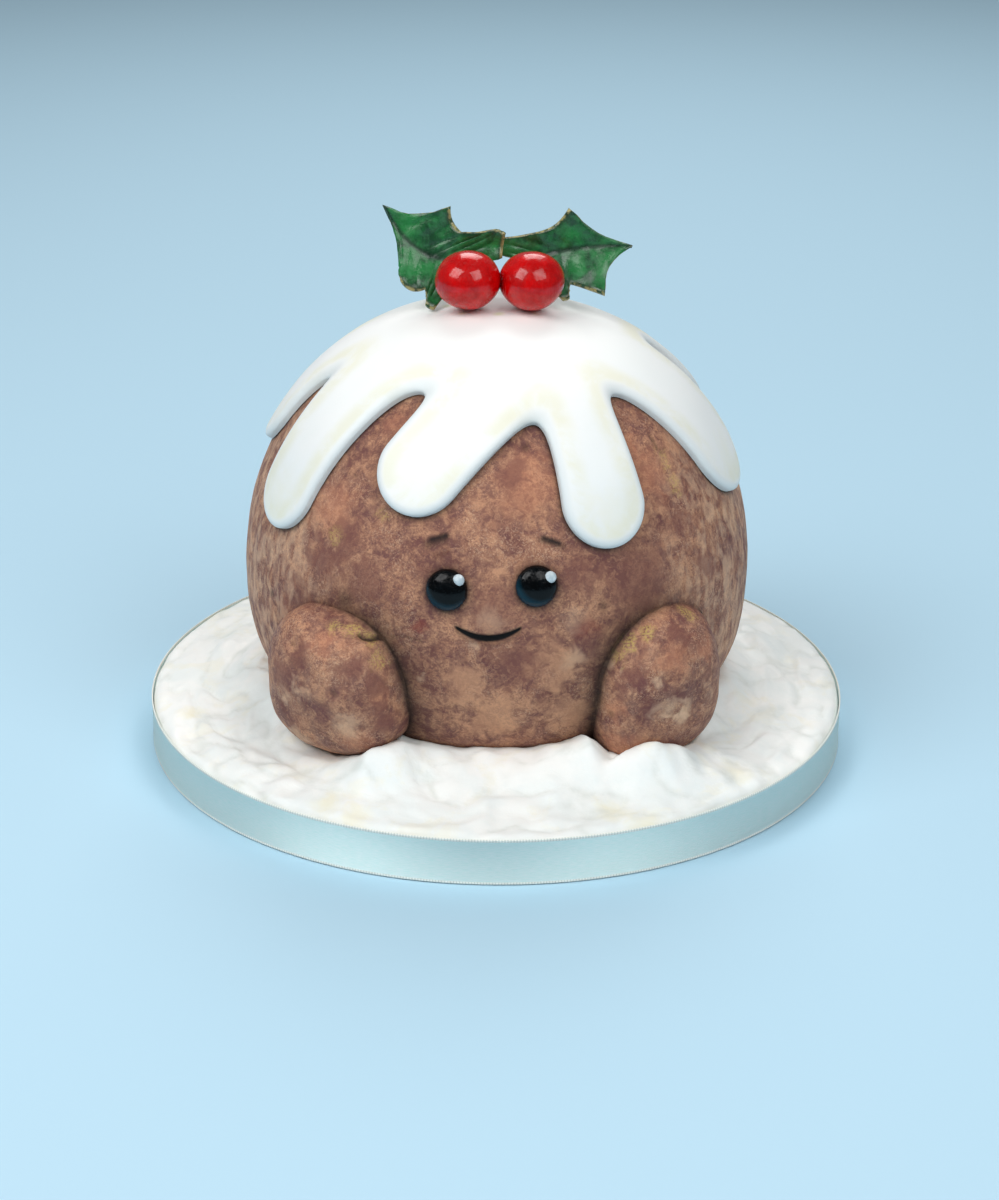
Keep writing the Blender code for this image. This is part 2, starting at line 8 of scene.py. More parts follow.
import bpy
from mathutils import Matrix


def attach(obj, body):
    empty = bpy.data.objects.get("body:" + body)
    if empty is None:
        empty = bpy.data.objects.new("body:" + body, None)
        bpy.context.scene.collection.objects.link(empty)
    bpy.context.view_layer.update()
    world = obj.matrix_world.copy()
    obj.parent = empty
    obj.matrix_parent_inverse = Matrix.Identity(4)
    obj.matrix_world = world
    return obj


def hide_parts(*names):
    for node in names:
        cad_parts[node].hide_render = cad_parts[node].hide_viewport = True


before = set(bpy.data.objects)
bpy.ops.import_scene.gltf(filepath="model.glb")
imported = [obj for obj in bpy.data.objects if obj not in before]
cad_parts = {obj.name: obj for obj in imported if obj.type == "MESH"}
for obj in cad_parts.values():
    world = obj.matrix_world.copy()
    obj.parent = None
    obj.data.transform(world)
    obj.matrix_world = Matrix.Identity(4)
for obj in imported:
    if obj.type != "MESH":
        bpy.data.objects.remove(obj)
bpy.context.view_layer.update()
print("plain solids:", sorted(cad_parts))

# %% Units and modules
import math

import bmesh
import bpy
import numpy as np
from mathutils import Matrix, Vector, noise
from mathutils.bvhtree import BVHTree

MM = 0.001

# %% [markdown]
# ## Camera
# The cake was photographed from a little above with a long lens, which keeps the board's
# ellipse calm.  A camera could be placed by eye, but the two rims of the board fix it: their
# widths and heights in the picture give the lens, the distance and the tilt.

# %% Camera
VIEW_DISTANCE = 0.900
VIEW_ELEVATION = 22.78            # degrees above the table
VIEW_ROLL = 0.42                  # degrees, the right side slightly up
VIEW_TARGET = Vector((0.0009, 0.0, 0.0445))
LENS = 81.315                     # mm, on a 36 mm sensor along the picture's long side

camera_data = bpy.data.cameras.new("photo_camera")
camera_data.lens = LENS
camera_data.sensor_width = 36.0
camera = bpy.data.objects.new("photo_camera", camera_data)
elevation = math.radians(VIEW_ELEVATION)
backwards = Vector((0.0, -math.cos(elevation), math.sin(elevation)))
camera.location = VIEW_TARGET + VIEW_DISTANCE * backwards
turn_to_cake = (-backwards).to_track_quat("-Z", "Y").to_matrix()
roll = Matrix.Rotation(math.radians(VIEW_ROLL), 3, "Z")
camera.rotation_euler = (turn_to_cake @ roll).to_euler()
bpy.context.scene.collection.objects.link(camera)
bpy.context.scene.camera = camera
bpy.context.scene.view_settings.view_transform = "Standard"
print("camera at", [round(x, 3) for x in camera.location])

# %% [markdown]
# ## Light
# The two berries carry the answer: each shows one soft square of light on its upper left and
# one on its upper right, so the cake stood between two big softboxes.  Area lights make the
# same squares, a third one lights the back, and a pale surrounding fills the shadows.

# %% Softboxes
CAKE_MIDDLE = Vector((0.0, 0.0, 0.08))
SOFTBOX_SIZE = 0.8


def softbox(name, place, power):
    """A square area light that looks at the middle of the cake."""
    data = bpy.data.lights.new(name, "AREA")
    data.shape = "SQUARE"
    data.size = SOFTBOX_SIZE
    data.energy = power
    lamp = bpy.data.objects.new(name, data)
    lamp.location = place
    lamp.rotation_euler = (CAKE_MIDDLE - Vector(place)).to_track_quat("-Z", "Y").to_euler()
    bpy.context.scene.collection.objects.link(lamp)
    print(name, power, "W")


softbox("softbox_left", (-0.69, -0.52, 1.05), 10.8)
softbox("softbox_right", (0.58, -0.69, 1.01), 7.8)
softbox("softbox_behind", (0.1, 0.95, 1.15), 9.0)

# %% Surrounding
ROOM_COLOUR = (0.86, 0.94, 1.0, 1.0)
ROOM_STRENGTH = 0.15

world = bpy.data.worlds.new("pale_room")
bpy.context.scene.world = world
world.use_nodes = True
room = world.node_tree.nodes["Background"]
room.inputs["Color"].default_value = ROOM_COLOUR
room.inputs["Strength"].default_value = ROOM_STRENGTH
print("the room shines with strength", ROOM_STRENGTH)

# %% [markdown]
# ## Floor
# The cake stands on a plain, pale, matt surface.  A curved backdrop would hide the horizon from
# every side, but the camera looks down so far that one wide flat square fills the picture.

# %% Floor
FLOOR_HALF_SIZE = 6.0
FLOOR_COLOUR = (0.46, 0.67, 0.80, 1.0)

floor_bm = bmesh.new()
bmesh.ops.create_grid(floor_bm, x_segments=1, y_segments=1, size=FLOOR_HALF_SIZE)
floor_mesh = bpy.data.meshes.new("floor")
floor_bm.to_mesh(floor_mesh)
floor_bm.free()
floor_paint = bpy.data.materials.new("pale_floor")
floor_paint.use_nodes = True
floor_shader = floor_paint.node_tree.nodes["Principled BSDF"]
floor_shader.inputs["Base Color"].default_value = FLOOR_COLOUR
floor_shader.inputs["Roughness"].default_value = 0.85
floor_mesh.materials.append(floor_paint)
floor = bpy.data.objects.new("floor", floor_mesh)
bpy.context.scene.collection.objects.link(floor)
print("floor", 2 * FLOOR_HALF_SIZE, "m wide")

# %% [markdown]
# ## Helpers for paint
# Every finish below is a small tree of shader nodes.  Trees can be clicked together in the
# editor; in code a few short helpers keep them readable: one adds a node, one feeds a socket
# with a link or a plain value, and the rest are the sums that are needed again and again.

# %% Node helpers
def add_node(tree, kind, **settings):
    made = tree.nodes.new(kind)
    for setting, value in settings.items():
        setattr(made, setting, value)
    return made


def feed(tree, socket, value):
    """Links another node's socket, or sets a plain value."""
    if isinstance(value, bpy.types.NodeSocket):
        tree.links.new(value, socket)
    else:
        socket.default_value = value


def maths(tree, operation, *values):
    made = add_node(tree, "ShaderNodeMath", operation=operation)
    for socket, value in zip(made.inputs, values):
        feed(tree, socket, value)
    return made.outputs[0]


def vector_maths(tree, operation, *values):
    """A sum of vectors; dot products and lengths come out as a number."""
    made = add_node(tree, "ShaderNodeVectorMath", operation=operation)
    for socket, value in zip(made.inputs, values):
        feed(tree, socket, value)
    numbers = ("DOT_PRODUCT", "LENGTH", "DISTANCE")
    return made.outputs["Value" if operation in numbers else "Vector"]


def soft_step(tree, value, low, high, start=0.0, end=1.0):
    """Runs smoothly from start to end while the value goes from low to high."""
    made = add_node(tree, "ShaderNodeMapRange", interpolation_type="SMOOTHSTEP")
    for socket, given in zip(made.inputs, (value, low, high, start, end)):
        feed(tree, socket, given)
    return made.outputs[0]


def mix_colours(tree, share, first, second):
    """The first colour where the share is 0 and the second where it is 1."""
    made = add_node(tree, "ShaderNodeMix", data_type="RGBA")
    for index, value in ((0, share), (6, first), (7, second)):
        feed(tree, made.inputs[index], value)
    return made.outputs[2]


def lay_over(tree, colour, mask, strength, tint):
    """Lays a tint over a colour where a mask shows, at some strength."""
    return mix_colours(tree, maths(tree, "MULTIPLY", mask, strength), colour, tint)


def vertex_value(tree, name):
    """A value that the vertices of the mesh carry."""
    return add_node(tree, "ShaderNodeAttribute", attribute_name=name).outputs["Fac"]


def noise_value(tree, places, **settings):
    """Cloudy noise, 0 to 1; the settings go to the texture's sockets of the same names."""
    texture = add_node(tree, "ShaderNodeTexNoise")
    for socket, value in (("Vector", places), *settings.items()):
        feed(tree, texture.inputs[socket], value)
    return texture.outputs[0]


def paint(red, green, blue, light=1.0):
    """A colour as the eye sees it, 0 to 255, turned into the paint that looks so in this light."""
    linear = [((step / 255 + 0.055) / 1.055) ** 2.4 / light for step in (red, green, blue)]
    return (*linear, 1.0)


print("a middle brown is", [round(c, 3) for c in paint(151, 113, 98)[:3]])

# %% Starting a material or a group
def start_material(name, roughness, **sockets):
    """A Principled material; plain values go straight onto the shader's own sockets."""
    made = bpy.data.materials.new(name)
    made.use_nodes = True
    tree = made.node_tree
    shader = tree.nodes["Principled BSDF"]
    shader.inputs["Roughness"].default_value = roughness
    for socket, value in sockets.items():
        shader.inputs[socket.replace("_", " ")].default_value = value
    places = add_node(tree, "ShaderNodeTexCoord").outputs["Object"]
    print("material", name)
    return made, tree, shader.inputs, places


def start_group(name, inputs, outputs):
    """An empty node group with named inputs and outputs."""
    group = bpy.data.node_groups.new(name, "ShaderNodeTree")
    for title, default in inputs.items():
        kind = "NodeSocketVector" if isinstance(default, tuple) else "NodeSocketFloat"
        group.interface.new_socket(title, in_out="INPUT", socket_type=kind).default_value = default
    for title in outputs:
        group.interface.new_socket(title, in_out="OUTPUT", socket_type="NodeSocketFloat")
    given = add_node(group, "NodeGroupInput").outputs
    result = add_node(group, "NodeGroupOutput").inputs
    print("group", name)
    return group, given, result


def use_group(tree, group, values):
    """Places a group in a tree and returns its first output."""
    made = add_node(tree, "ShaderNodeGroup", node_tree=group)
    for title, value in values.items():
        feed(tree, made.inputs[title], value)
    return made.outputs[0]


def add_bump(tree, sockets, height, distance, strength=1.0):
    """Small relief that the light sees: height 0 to 1 over a distance in metres."""
    bump = add_node(tree, "ShaderNodeBump")
    bump.inputs["Strength"].default_value = strength
    bump.inputs["Distance"].default_value = distance
    feed(tree, bump.inputs["Height"], height)
    feed(tree, sockets["Normal"], bump.outputs["Normal"])


# %% [markdown]
# ## Effects that several finishes share
# Decorators colour sugar paste with a sponge, a dry brush and an airbrush.  Each of these
# leaves its own kind of mark, so each is one node group that puts out a mask: soft dabs, long
# fibres, small specks, and a sprayed stroke between two points of the cake.

# %% Sponge dabs
def soft_threshold(group, value, given):
    """A mask of where a value is above the group's threshold, with its soft edge."""
    low = maths(group, "SUBTRACT", given["Threshold"], given["Softness"])
    high = maths(group, "ADD", given["Threshold"], given["Softness"])
    return soft_step(group, value, low, high)


def make_dabs():
    group, given, result = start_group(
        "sponge dabs",
        {"Vector": (0.0, 0.0, 0.0), "Size": 0.01, "Threshold": 0.5, "Softness": 0.1, "Wobble": 0.4},
        ["Mask"])
    clouds = noise_value(group, given["Vector"], Scale=maths(group, "DIVIDE", 1.0, given["Size"]),
                         Detail=5.0, Roughness=0.62, Distortion=given["Wobble"])
    feed(group, result["Mask"], soft_threshold(group, clouds, given))
    return group


DABS = make_dabs()


def dabs(tree, places, size, threshold=0.5, softness=0.1, wobble=0.4):
    return use_group(tree, DABS, {"Vector": places, "Size": size, "Threshold": threshold,
                                  "Softness": softness, "Wobble": wobble})


# %% Brushed fibres
def make_fibres():
    group, given, result = start_group(
        "brushed fibres",
        {"Vector": (0.0, 0.0, 0.0), "Width": 0.001, "Length": 0.01, "Threshold": 0.5,
         "Softness": 0.1},
        ["Mask"])
    parts = add_node(group, "ShaderNodeSeparateXYZ")
    feed(group, parts.inputs[0], given["Vector"])
    joined = add_node(group, "ShaderNodeCombineXYZ")
    for axis, side in zip("XYZ", ("Width", "Width", "Length")):
        feed(group, joined.inputs[axis], maths(group, "DIVIDE", parts.outputs[axis], given[side]))
    clouds = noise_value(group, joined.outputs[0], Scale=1.0, Detail=3.0, Distortion=0.6)
    feed(group, result["Mask"], soft_threshold(group, clouds, given))
    return group


FIBRES = make_fibres()


def fibres(tree, places, width, length, threshold=0.5, softness=0.1):
    return use_group(tree, FIBRES, {"Vector": places, "Width": width, "Length": length,
                                    "Threshold": threshold, "Softness": softness})


# %% Small specks
def make_specks():
    group, given, result = start_group(
        "small specks", {"Vector": (0.0, 0.0, 0.0), "Spacing": 0.002, "Share": 0.5}, ["Mask"])
    cells = add_node(group, "ShaderNodeTexVoronoi")
    feed(group, cells.inputs["Vector"], given["Vector"])
    feed(group, cells.inputs["Scale"], maths(group, "DIVIDE", 1.0, given["Spacing"]))
    chance = add_node(group, "ShaderNodeSeparateColor")
    feed(group, chance.inputs[0], cells.outputs["Color"])
    size = maths(group, "ADD", maths(group, "SUBTRACT", chance.outputs[0], 1.0), given["Share"])
    reach = maths(group, "MAXIMUM", maths(group, "MULTIPLY", size, 0.9), 0.001)
    near = soft_step(group, cells.outputs["Distance"], 0.0, reach, 1.0, 0.0)
    feed(group, result["Mask"], near)
    return group


SPECKS = make_specks()


def specks(tree, places, spacing, share):
    return use_group(tree, SPECKS, {"Vector": places, "Spacing": spacing, "Share": share})


# %% Airbrush stroke
def make_stroke():
    """A sprayed line between two points; the same point twice gives a round spot."""
    group, given, result = start_group(
        "airbrush stroke",
        {"Vector": (0.0, 0.0, 0.0), "Start": (0.0, 0.0, 0.0), "End": (0.0, 0.0, 0.0),
         "Radius": 0.002, "Softness": 0.002, "Ragged": 0.0},
        ["Mask"])
    offset = vector_maths(group, "SUBTRACT", given["Vector"], given["Start"])
    run = vector_maths(group, "SUBTRACT", given["End"], given["Start"])
    square = maths(group, "MAXIMUM", vector_maths(group, "DOT_PRODUCT", run, run), 1e-9)
    along = maths(group, "DIVIDE", vector_maths(group, "DOT_PRODUCT", offset, run), square)
    share = add_node(group, "ShaderNodeClamp")
    feed(group, share.inputs[0], along)
    scaled = add_node(group, "ShaderNodeVectorMath", operation="SCALE")
    feed(group, scaled.inputs["Vector"], run)
    feed(group, scaled.inputs["Scale"], share.outputs[0])
    away = vector_maths(group, "SUBTRACT", offset, scaled.outputs["Vector"])
    distance = maths(group, "ADD", vector_maths(group, "LENGTH", away), given["Ragged"])
    outer = maths(group, "ADD", given["Radius"], given["Softness"])
    inner = maths(group, "SUBTRACT", given["Radius"], given["Softness"])
    feed(group, result["Mask"], soft_step(group, distance, inner, outer, 1.0, 0.0))
    return group


STROKE = make_stroke()
SPRAY_CLOUD = 5 * MM              # size of the unevenness along a stroke's edge
DUST_GRAIN = 0.7 * MM


def spray(tree, colour, places, marks, tint, strength, raggedness=0.0, grain=False):
    """Sprays one tint on a list of marks: (start, end, radius, softness) each."""
    clouds = noise_value(tree, places, Scale=1 / SPRAY_CLOUD, Detail=5.0, Distortion=0.6)
    uneven = maths(tree, "SUBTRACT", clouds, 0.5)
    ragged = maths(tree, "MULTIPLY", uneven, 3 * raggedness)
    amount = maths(tree, "MULTIPLY", dabs(tree, places, DUST_GRAIN), strength) if grain else strength
    for start, end, radius, softness in marks:
        mask = use_group(tree, STROKE, {"Vector": places, "Start": tuple(start), "End": tuple(end),
                                        "Radius": radius, "Softness": softness,
                                        "Ragged": ragged})
        colour = lay_over(tree, colour, mask, amount, tint)
    return colour


# %% [markdown]
# ## The pudding's curve
# Half of the cake is known once its side curve is known: a superellipse above the waist, and a
# squarer one below it, down to the flat base.  The curve is sampled finely once, and the
# pieces below look places, slopes and lengths up on it.

# %% Side curve of the pudding
PUDDING_BASE = 16.5 * MM
PUDDING_WAIST = 61.0 * MM
PUDDING_TOP = 143.0 * MM
PUDDING_RADIUS = 82.3 * MM
BASE_FLAT_RADIUS = 44.0 * MM
CROWN_POWERS = (1.98, 2.27)       # height, radius
FLANK_POWERS = (2.4, 7.0)
FLANK_END = math.radians(77.0)

turn = np.linspace(0.0, math.pi / 2, 481)
crown_radii = PUDDING_RADIUS * np.sin(turn) ** (2 / CROWN_POWERS[1])
crown_heights = (PUDDING_WAIST
                 + (PUDDING_TOP - PUDDING_WAIST) * np.cos(turn).clip(0) ** (2 / CROWN_POWERS[0]))
turn = np.linspace(0.0, FLANK_END, 241)[1:]
flank_radii = PUDDING_RADIUS * np.cos(turn) ** (2 / FLANK_POWERS[1])
flank_heights = (PUDDING_WAIST
                 - (PUDDING_WAIST - PUDDING_BASE) * np.sin(turn) ** (2 / FLANK_POWERS[0]))
SIDE_RADII = np.concatenate([crown_radii, flank_radii, [BASE_FLAT_RADIUS]])
SIDE_HEIGHTS = np.concatenate([crown_heights, flank_heights, [PUDDING_BASE]])
SIDE_ARCS = np.concatenate([[0.0], np.cumsum(np.hypot(np.diff(SIDE_RADII), np.diff(SIDE_HEIGHTS)))])
out_radial = -np.gradient(SIDE_HEIGHTS, SIDE_ARCS)
out_upward = np.gradient(SIDE_RADII, SIDE_ARCS)
SIDE_ARC = SIDE_ARCS[-1]
print("from the top to the base the side is", round(SIDE_ARC / MM, 1), "mm long")


# %% Places on the pudding
def arc_at(height):
    return np.interp(-height, -SIDE_HEIGHTS, SIDE_ARCS)


def side_radius(height):
    return float(np.interp(-height, -SIDE_HEIGHTS, SIDE_RADII))


def outward_at(azimuth, arc):
    """The direction that points away from the pudding."""
    flat = float(np.interp(arc, SIDE_ARCS, out_radial))
    up = float(np.interp(arc, SIDE_ARCS, out_upward))
    return Vector((flat * math.sin(azimuth), -flat * math.cos(azimuth), up)).normalized()


def over_pudding(azimuth, arc, lift=0.0):
    """A point over the pudding: azimuth in radians from the face, arc from the top."""
    radius = float(np.interp(arc, SIDE_ARCS, SIDE_RADII))
    height = float(np.interp(arc, SIDE_ARCS, SIDE_HEIGHTS))
    place = Vector((radius * math.sin(azimuth), -radius * math.cos(azimuth), height))
    return place + outward_at(azimuth, arc) * lift


def on_front(x, height):
    """The point of the pudding's front at x and a height, both in mm."""
    radius = side_radius(height * MM)
    return Vector((x * MM, -math.sqrt(radius ** 2 - (x * MM) ** 2), height * MM))


def front_frame(x, height):
    """A frame on the front of the pudding: X to the right, -Y outwards, Z up the curve."""
    place = on_front(x, height)
    azimuth = math.atan2(place.x, -place.y)
    step = 1.0 * MM
    slope = math.atan2(side_radius(place.z - step) - side_radius(place.z + step), 2 * step)
    lean = Matrix.Rotation(azimuth, 4, "Z") @ Matrix.Rotation(-slope, 4, "X")
    return Matrix.Translation(place) @ lean


def press_on_pudding(bm, rest):
    """Moves what lies inside the pudding straight outwards until it rests on its side."""
    for vertex in bm.verts:
        reach = side_radius(vertex.co.z) + rest
        radius = math.hypot(vertex.co.x, vertex.co.y)
        if radius < reach:
            vertex.co.x *= reach / radius
            vertex.co.y *= reach / radius


print("at eye height the pudding's radius is", round(side_radius(81 * MM) / MM, 1), "mm")


# %% [markdown]
# ## From a line to a mesh, and from a mesh to a piece
# Round pieces could be lathed from a curve with a Screw modifier, but then their vertices could
# not be pushed about one by one, so the spin is done at once.  Every mesh then ends in the same
# way: its normals point outwards, its faces are shaded smooth, and it stands in for its plain
# solid, which is hidden.

# %% Turning and finishing
def fading(distance, width):
    """1 where there is no distance, and softly less over the width."""
    return math.exp(-(distance / width) ** 2)


def hand_marks(place, broad, broad_size, fine, fine_size):
    """How far hands left a place too high or too low: broad waves with finer ones on them."""
    return broad * noise.noise(place / broad_size) + fine * noise.noise(place / fine_size)


def turned(line, steps):
    """Spins a line of (radius, height) places into a closed round skin."""
    bm = bmesh.new()
    verts = [bm.verts.new((radius, 0.0, height)) for radius, height in line]
    edges = [bm.edges.new(pair) for pair in zip(verts, verts[1:])]
    bmesh.ops.spin(bm, geom=verts + edges, cent=(0, 0, 0), axis=(0, 0, 1),
                   angle=2 * math.pi, steps=steps, use_merge=True)
    bmesh.ops.remove_doubles(bm, verts=bm.verts, dist=0.002 * MM)
    return bm


def finish_piece(name, bm, material, node, sharp=40.0):
    """Makes the mesh an object that stands in for its plain solid, which it hides, with the given
    finish.
    """
    bmesh.ops.recalc_face_normals(bm, faces=bm.faces)
    mesh = bpy.data.meshes.new(name)
    bm.to_mesh(mesh)
    bm.free()
    mesh.shade_smooth()
    mesh.set_sharp_from_angle(angle=math.radians(sharp))
    mesh.materials.append(material)
    piece = bpy.data.objects.new(name, mesh)
    bpy.context.scene.collection.objects.link(piece)
    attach(piece, "root")
    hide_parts(node)
    print(f"{name}: {len(mesh.polygons)} faces")
    return piece


# %% [markdown]
# ## Brown paste paint
# A steamed pudding is dark and fruity, and sugar paste is not, so its surface was coloured:
# a warm brown ground, plum and tan dabs in several sizes, pale brushed fibres that grow
# stronger towards the flanks and so also paint in the flanks' paler sheen, fine specks, gold
# dust in places, and painted grey-brown shade where pieces meet and in pits.  A picture could be
# wrapped round it instead, but layered masks give every side its own marks.

# %% Ground of the brown paste
GROUND_LIGHT = 0.74               # how much of full light reaches the front of the cake

PASTE = {name: paint(*steps, GROUND_LIGHT) for name, steps in {
    "ground": (156, 109, 86),
    "plum": (112, 71, 63),
    "tan": (189, 140, 108),
    "pale": (206, 170, 140),
    "dark": (84, 55, 46),
    "mauve": (98, 60, 60),
    "gold": (176, 152, 88),
    # the darkest tint: dark spray for the brows, and also painted shade at edges, in pits and dents
    # and under the smile
    "smoke_and_shade": (30, 23, 20),
    "rose": (120, 56, 50),
    "warm": (184, 122, 92),
}.items()}

NOISE_SHIFT = (0.31, 0.17, 0.05)  # dabs read this far away don't follow the first ones


def brown_ground(tree, places, flank):
    """The dabbed colour of the brown paste; flank is how strongly its pale fibres show."""
    def layer(mask, strength, tint, under):
        return lay_over(tree, under, mask, strength, PASTE[tint])

    shifted = vector_maths(tree, "ADD", places, NOISE_SHIFT)
    colour = mix_colours(tree, dabs(tree, places, 26 * MM, 0.5, 0.10, 0.8), PASTE["plum"],
                         PASTE["ground"])
    colour = layer(dabs(tree, places, 12 * MM, 0.53, 0.10, 1.0), 0.75, "tan", colour)
    colour = layer(dabs(tree, shifted, 8 * MM, 0.55, 0.08, 1.2), 0.65, "mauve", colour)
    colour = layer(dabs(tree, places, 5 * MM, 0.55, 0.06, 1.4), 0.45, "mauve", colour)
    colour = layer(dabs(tree, shifted, 2.6 * MM, 0.55, 0.06, 1.4), 0.42, "tan", colour)
    patch = maths(tree, "MULTIPLY", dabs(tree, shifted, 15 * MM, 0.47, 0.12), 0.6)
    colour = layer(dabs(tree, places, 1.7 * MM, 0.54, 0.05, 1.8), patch, "mauve", colour)
    colour = layer(dabs(tree, places, 0.6 * MM, 0.5, 0.2, 0.0), 0.3, "dark", colour)
    scuffs = maths(tree, "MULTIPLY", dabs(tree, shifted, 1.3 * MM, 0.56, 0.06, 2.4),
                   dabs(tree, places, 14 * MM, 0.54, 0.10))
    colour = layer(scuffs, 0.40, "pale", colour)
    colour = layer(fibres(tree, shifted, 3.4 * MM, 7 * MM, 0.52, 0.14), flank, "pale", colour)
    return layer(specks(tree, places, 1.5 * MM, 0.45), 0.5, "dark", colour)


def brown_relief(tree, places):
    """Fine unevenness of dabbed paste, 0 to 1."""
    fine = dabs(tree, places, 1.1 * MM, 0.5, 0.25, 0.2)
    grain = dabs(tree, places, 0.45 * MM, 0.5, 0.3, 0.0)
    pits = specks(tree, places, 2.2 * MM, 0.25)
    rough = maths(tree, "MULTIPLY_ADD", grain, 0.35, fine)
    return maths(tree, "SUBTRACT", rough, pits)


def finish_brown(tree, sockets, places, colour, smoothest, relief):
    """Feeds brown paste's colour, its uneven sheen and its fine relief to the shader."""
    feed(tree, sockets["Base Color"], colour)
    sheen = dabs(tree, places, 8 * MM, 0.5, 0.2)
    feed(tree, sockets["Roughness"], soft_step(tree, sheen, 0.0, 1.0, smoothest, smoothest + 0.16))
    add_bump(tree, sockets, brown_relief(tree, places), 0.25 * MM, relief)


print("tints of brown paste:", ", ".join(PASTE))


# %% Marks of the airbrush on the pudding
def spot(x, height, radius, softness):
    """A round mark on the front of the pudding, all in mm."""
    place = on_front(x, height)
    return place, place, radius * MM, softness * MM


def line(start, end, radius, softness):
    """A straight mark between two places on the front, all in mm."""
    return on_front(*start), on_front(*end), radius * MM, softness * MM


PUDDING_PITS = [spot(-71, 63.6, 0.9, 0.8), spot(-43.5, 107.6, 0.9, 0.9),
                spot(-46.5, 72.5, 2.0, 2.6), spot(8.4, 119.5, 1.2, 1.4),
                spot(32.5, 73.8, 1.2, 1.6)]
PUDDING_SCRATCHES = [line((46.4, 117), (50, 112), 0.5, 0.8),
                     line((-31.2, 64.4), (-27.2, 65.0), 0.4, 0.9),
                     line((-27.2, 65.0), (-22.6, 64.0), 0.2, 0.8)]
PUDDING_DUST = [spot(-49.5, 90, 2.2, 1.6), line((50, 112), (56, 100), 1.4, 1.6),
                spot(-34, 99, 1.6, 1.4)]
# tint, strength, raggedness in mm, and the marks
PUDDING_SPRAYS = (
    ("warm", 0.38, 5.0, [spot(10, 111, 8, 6), spot(-28, 122, 5, 4), spot(40, 116, 4, 3),
                         spot(-62, 58, 8, 6), spot(-50, 98, 7, 5), spot(45, 108, 7, 5)]),
    ("plum", 0.60, 8.0, [spot(-45, 90, 6, 3), spot(-53, 83, 6, 3), spot(-40, 80, 6, 3),
                         spot(-61, 67, 6, 4), spot(44, 80, 10, 5), spot(65, 78, 4, 3),
                         spot(57, 93, 4, 3), spot(26, 84, 6, 3), spot(0, 76, 7, 4),
                         spot(4, 112, 4, 2), spot(-18, 84, 4, 3), spot(8, 57, 6, 3)]),
    ("rose", 0.65, 4.0, [spot(-23, 68.5, 1.8, 1.6), spot(26.5, 67.5, 3.6, 2.4)]),
    ("mauve", 0.65, 4.0, [spot(27.2, 62.2, 4.4, 2.6), spot(-20, 74, 2.4, 2)]),
    ("tan", 0.55, 7.0, [spot(0, 38, 8, 4), spot(19, 57, 6, 3), spot(-10, 50, 5, 3),
                        spot(0.3, 86.5, 2, 1.6), spot(23.4, 38.8, 6, 3)]),
    ("pale", 0.30, 4.0, [spot(-1.1, 71.6, 3.0, 3.0), spot(23.6, 70.5, 3.4, 3.2)]),
    ("pale", 0.45, 4.0, [spot(-6.7, 64.1, 1.0, 1.4), spot(24.2, 58.6, 2.4, 3.0),
                         spot(-22.5, 51.0, 0.8, 1.0), spot(78.6, 51.4, 3.0, 3.0)]),
    # dark paint in the scratches; painted shade in the pressed pits, one of them beside the left foot
    ("smoke_and_shade", 0.55, 1.0, PUDDING_PITS + PUDDING_SCRATCHES),
)
print("airbrush marks on the pudding:", sum(len(spray_job[3]) for spray_job in PUDDING_SPRAYS))

# %% [markdown]
# ## Smile and brows
# The smile was pressed in with a tool and painted black, and the brows are two thin strokes
# with a soft haze under them.  Airbrush strokes do for the brows.  The smile needs a mask of
# its own, because its line hangs in an arc, swells in the middle and runs out thin at the ends.

# %% Smile and brows
SMILE_ENDS = (-12.2 * MM, 7.3 * MM)
SMILE_MIDDLE = sum(SMILE_ENDS) / 2
SMILE_HALF = (SMILE_ENDS[1] - SMILE_ENDS[0]) / 2
SMILE_CORNER_HEIGHT = 69.4 * MM
SMILE_SAG = 3.3 * MM
SMILE_WIDTH = 2.1 * MM


def smile_mask(tree, places, spread, fall):
    """1 on the smile, which spread makes wider and fall lets hang lower, both in metres."""
    parts = add_node(tree, "ShaderNodeSeparateXYZ")
    feed(tree, parts.inputs[0], places)
    share = maths(tree, "DIVIDE", maths(tree, "SUBTRACT", parts.outputs["X"], SMILE_MIDDLE),
                  SMILE_HALF)
    bulge = maths(tree, "MAXIMUM", maths(tree, "MULTIPLY_ADD", share,
                                         maths(tree, "MULTIPLY", share, -1.0), 1.0), 0.0)
    height = maths(tree, "MULTIPLY_ADD", bulge, -SMILE_SAG, SMILE_CORNER_HEIGHT - fall)
    away = maths(tree, "ABSOLUTE", maths(tree, "SUBTRACT", parts.outputs["Z"], height))
    thick = maths(tree, "MULTIPLY_ADD", bulge, 0.26 * SMILE_WIDTH, 0.08 * SMILE_WIDTH)
    outer = maths(tree, "ADD", thick, spread)
    band = soft_step(tree, away, thick, outer, 1.0, 0.0)
    ends = soft_step(tree, maths(tree, "ABSOLUTE", share), 0.96, 1.08, 1.0, 0.0)
    front = soft_step(tree, parts.outputs["Y"], -0.06, -0.05, 1.0, 0.0)
    return maths(tree, "MULTIPLY", maths(tree, "MULTIPLY", band, ends), front)


BROW_CORES = [line((-19.6, 94.7), (-15.2, 96.2), 0.8, 0.9),
              line((14.0, 95.8), (18.6, 94.0), 0.7, 0.8)]
BROW_SMOKE = [line((-20.6, 93.4), (-16.0, 95.0), 1.2, 1.6),
              line((13.6, 95.3), (19.6, 93.2), 0.9, 1.4)]
BROW_SMUDGE = [line((-17.8, 90.6), (-14.6, 91.4), 1.0, 1.8)]
print("the smile is", round(2 * SMILE_HALF / MM, 1), "mm wide")

# %% The pudding's material
# vertex value, strength of the wide painted shade round that piece, strength of the dark painted line
# of shade along it
PAINTED_SHADE_EDGES = (("icing_edge", 0.25, 0.55), ("foot_edge", 0.85, 0.15), ("eye_edge", 0.6, 0.4))
FLANK_SHEEN_RISE = (40 * MM, 72 * MM)   # the pale fibres, and the flanks' painted paler sheen with them, set in between these distances sideways
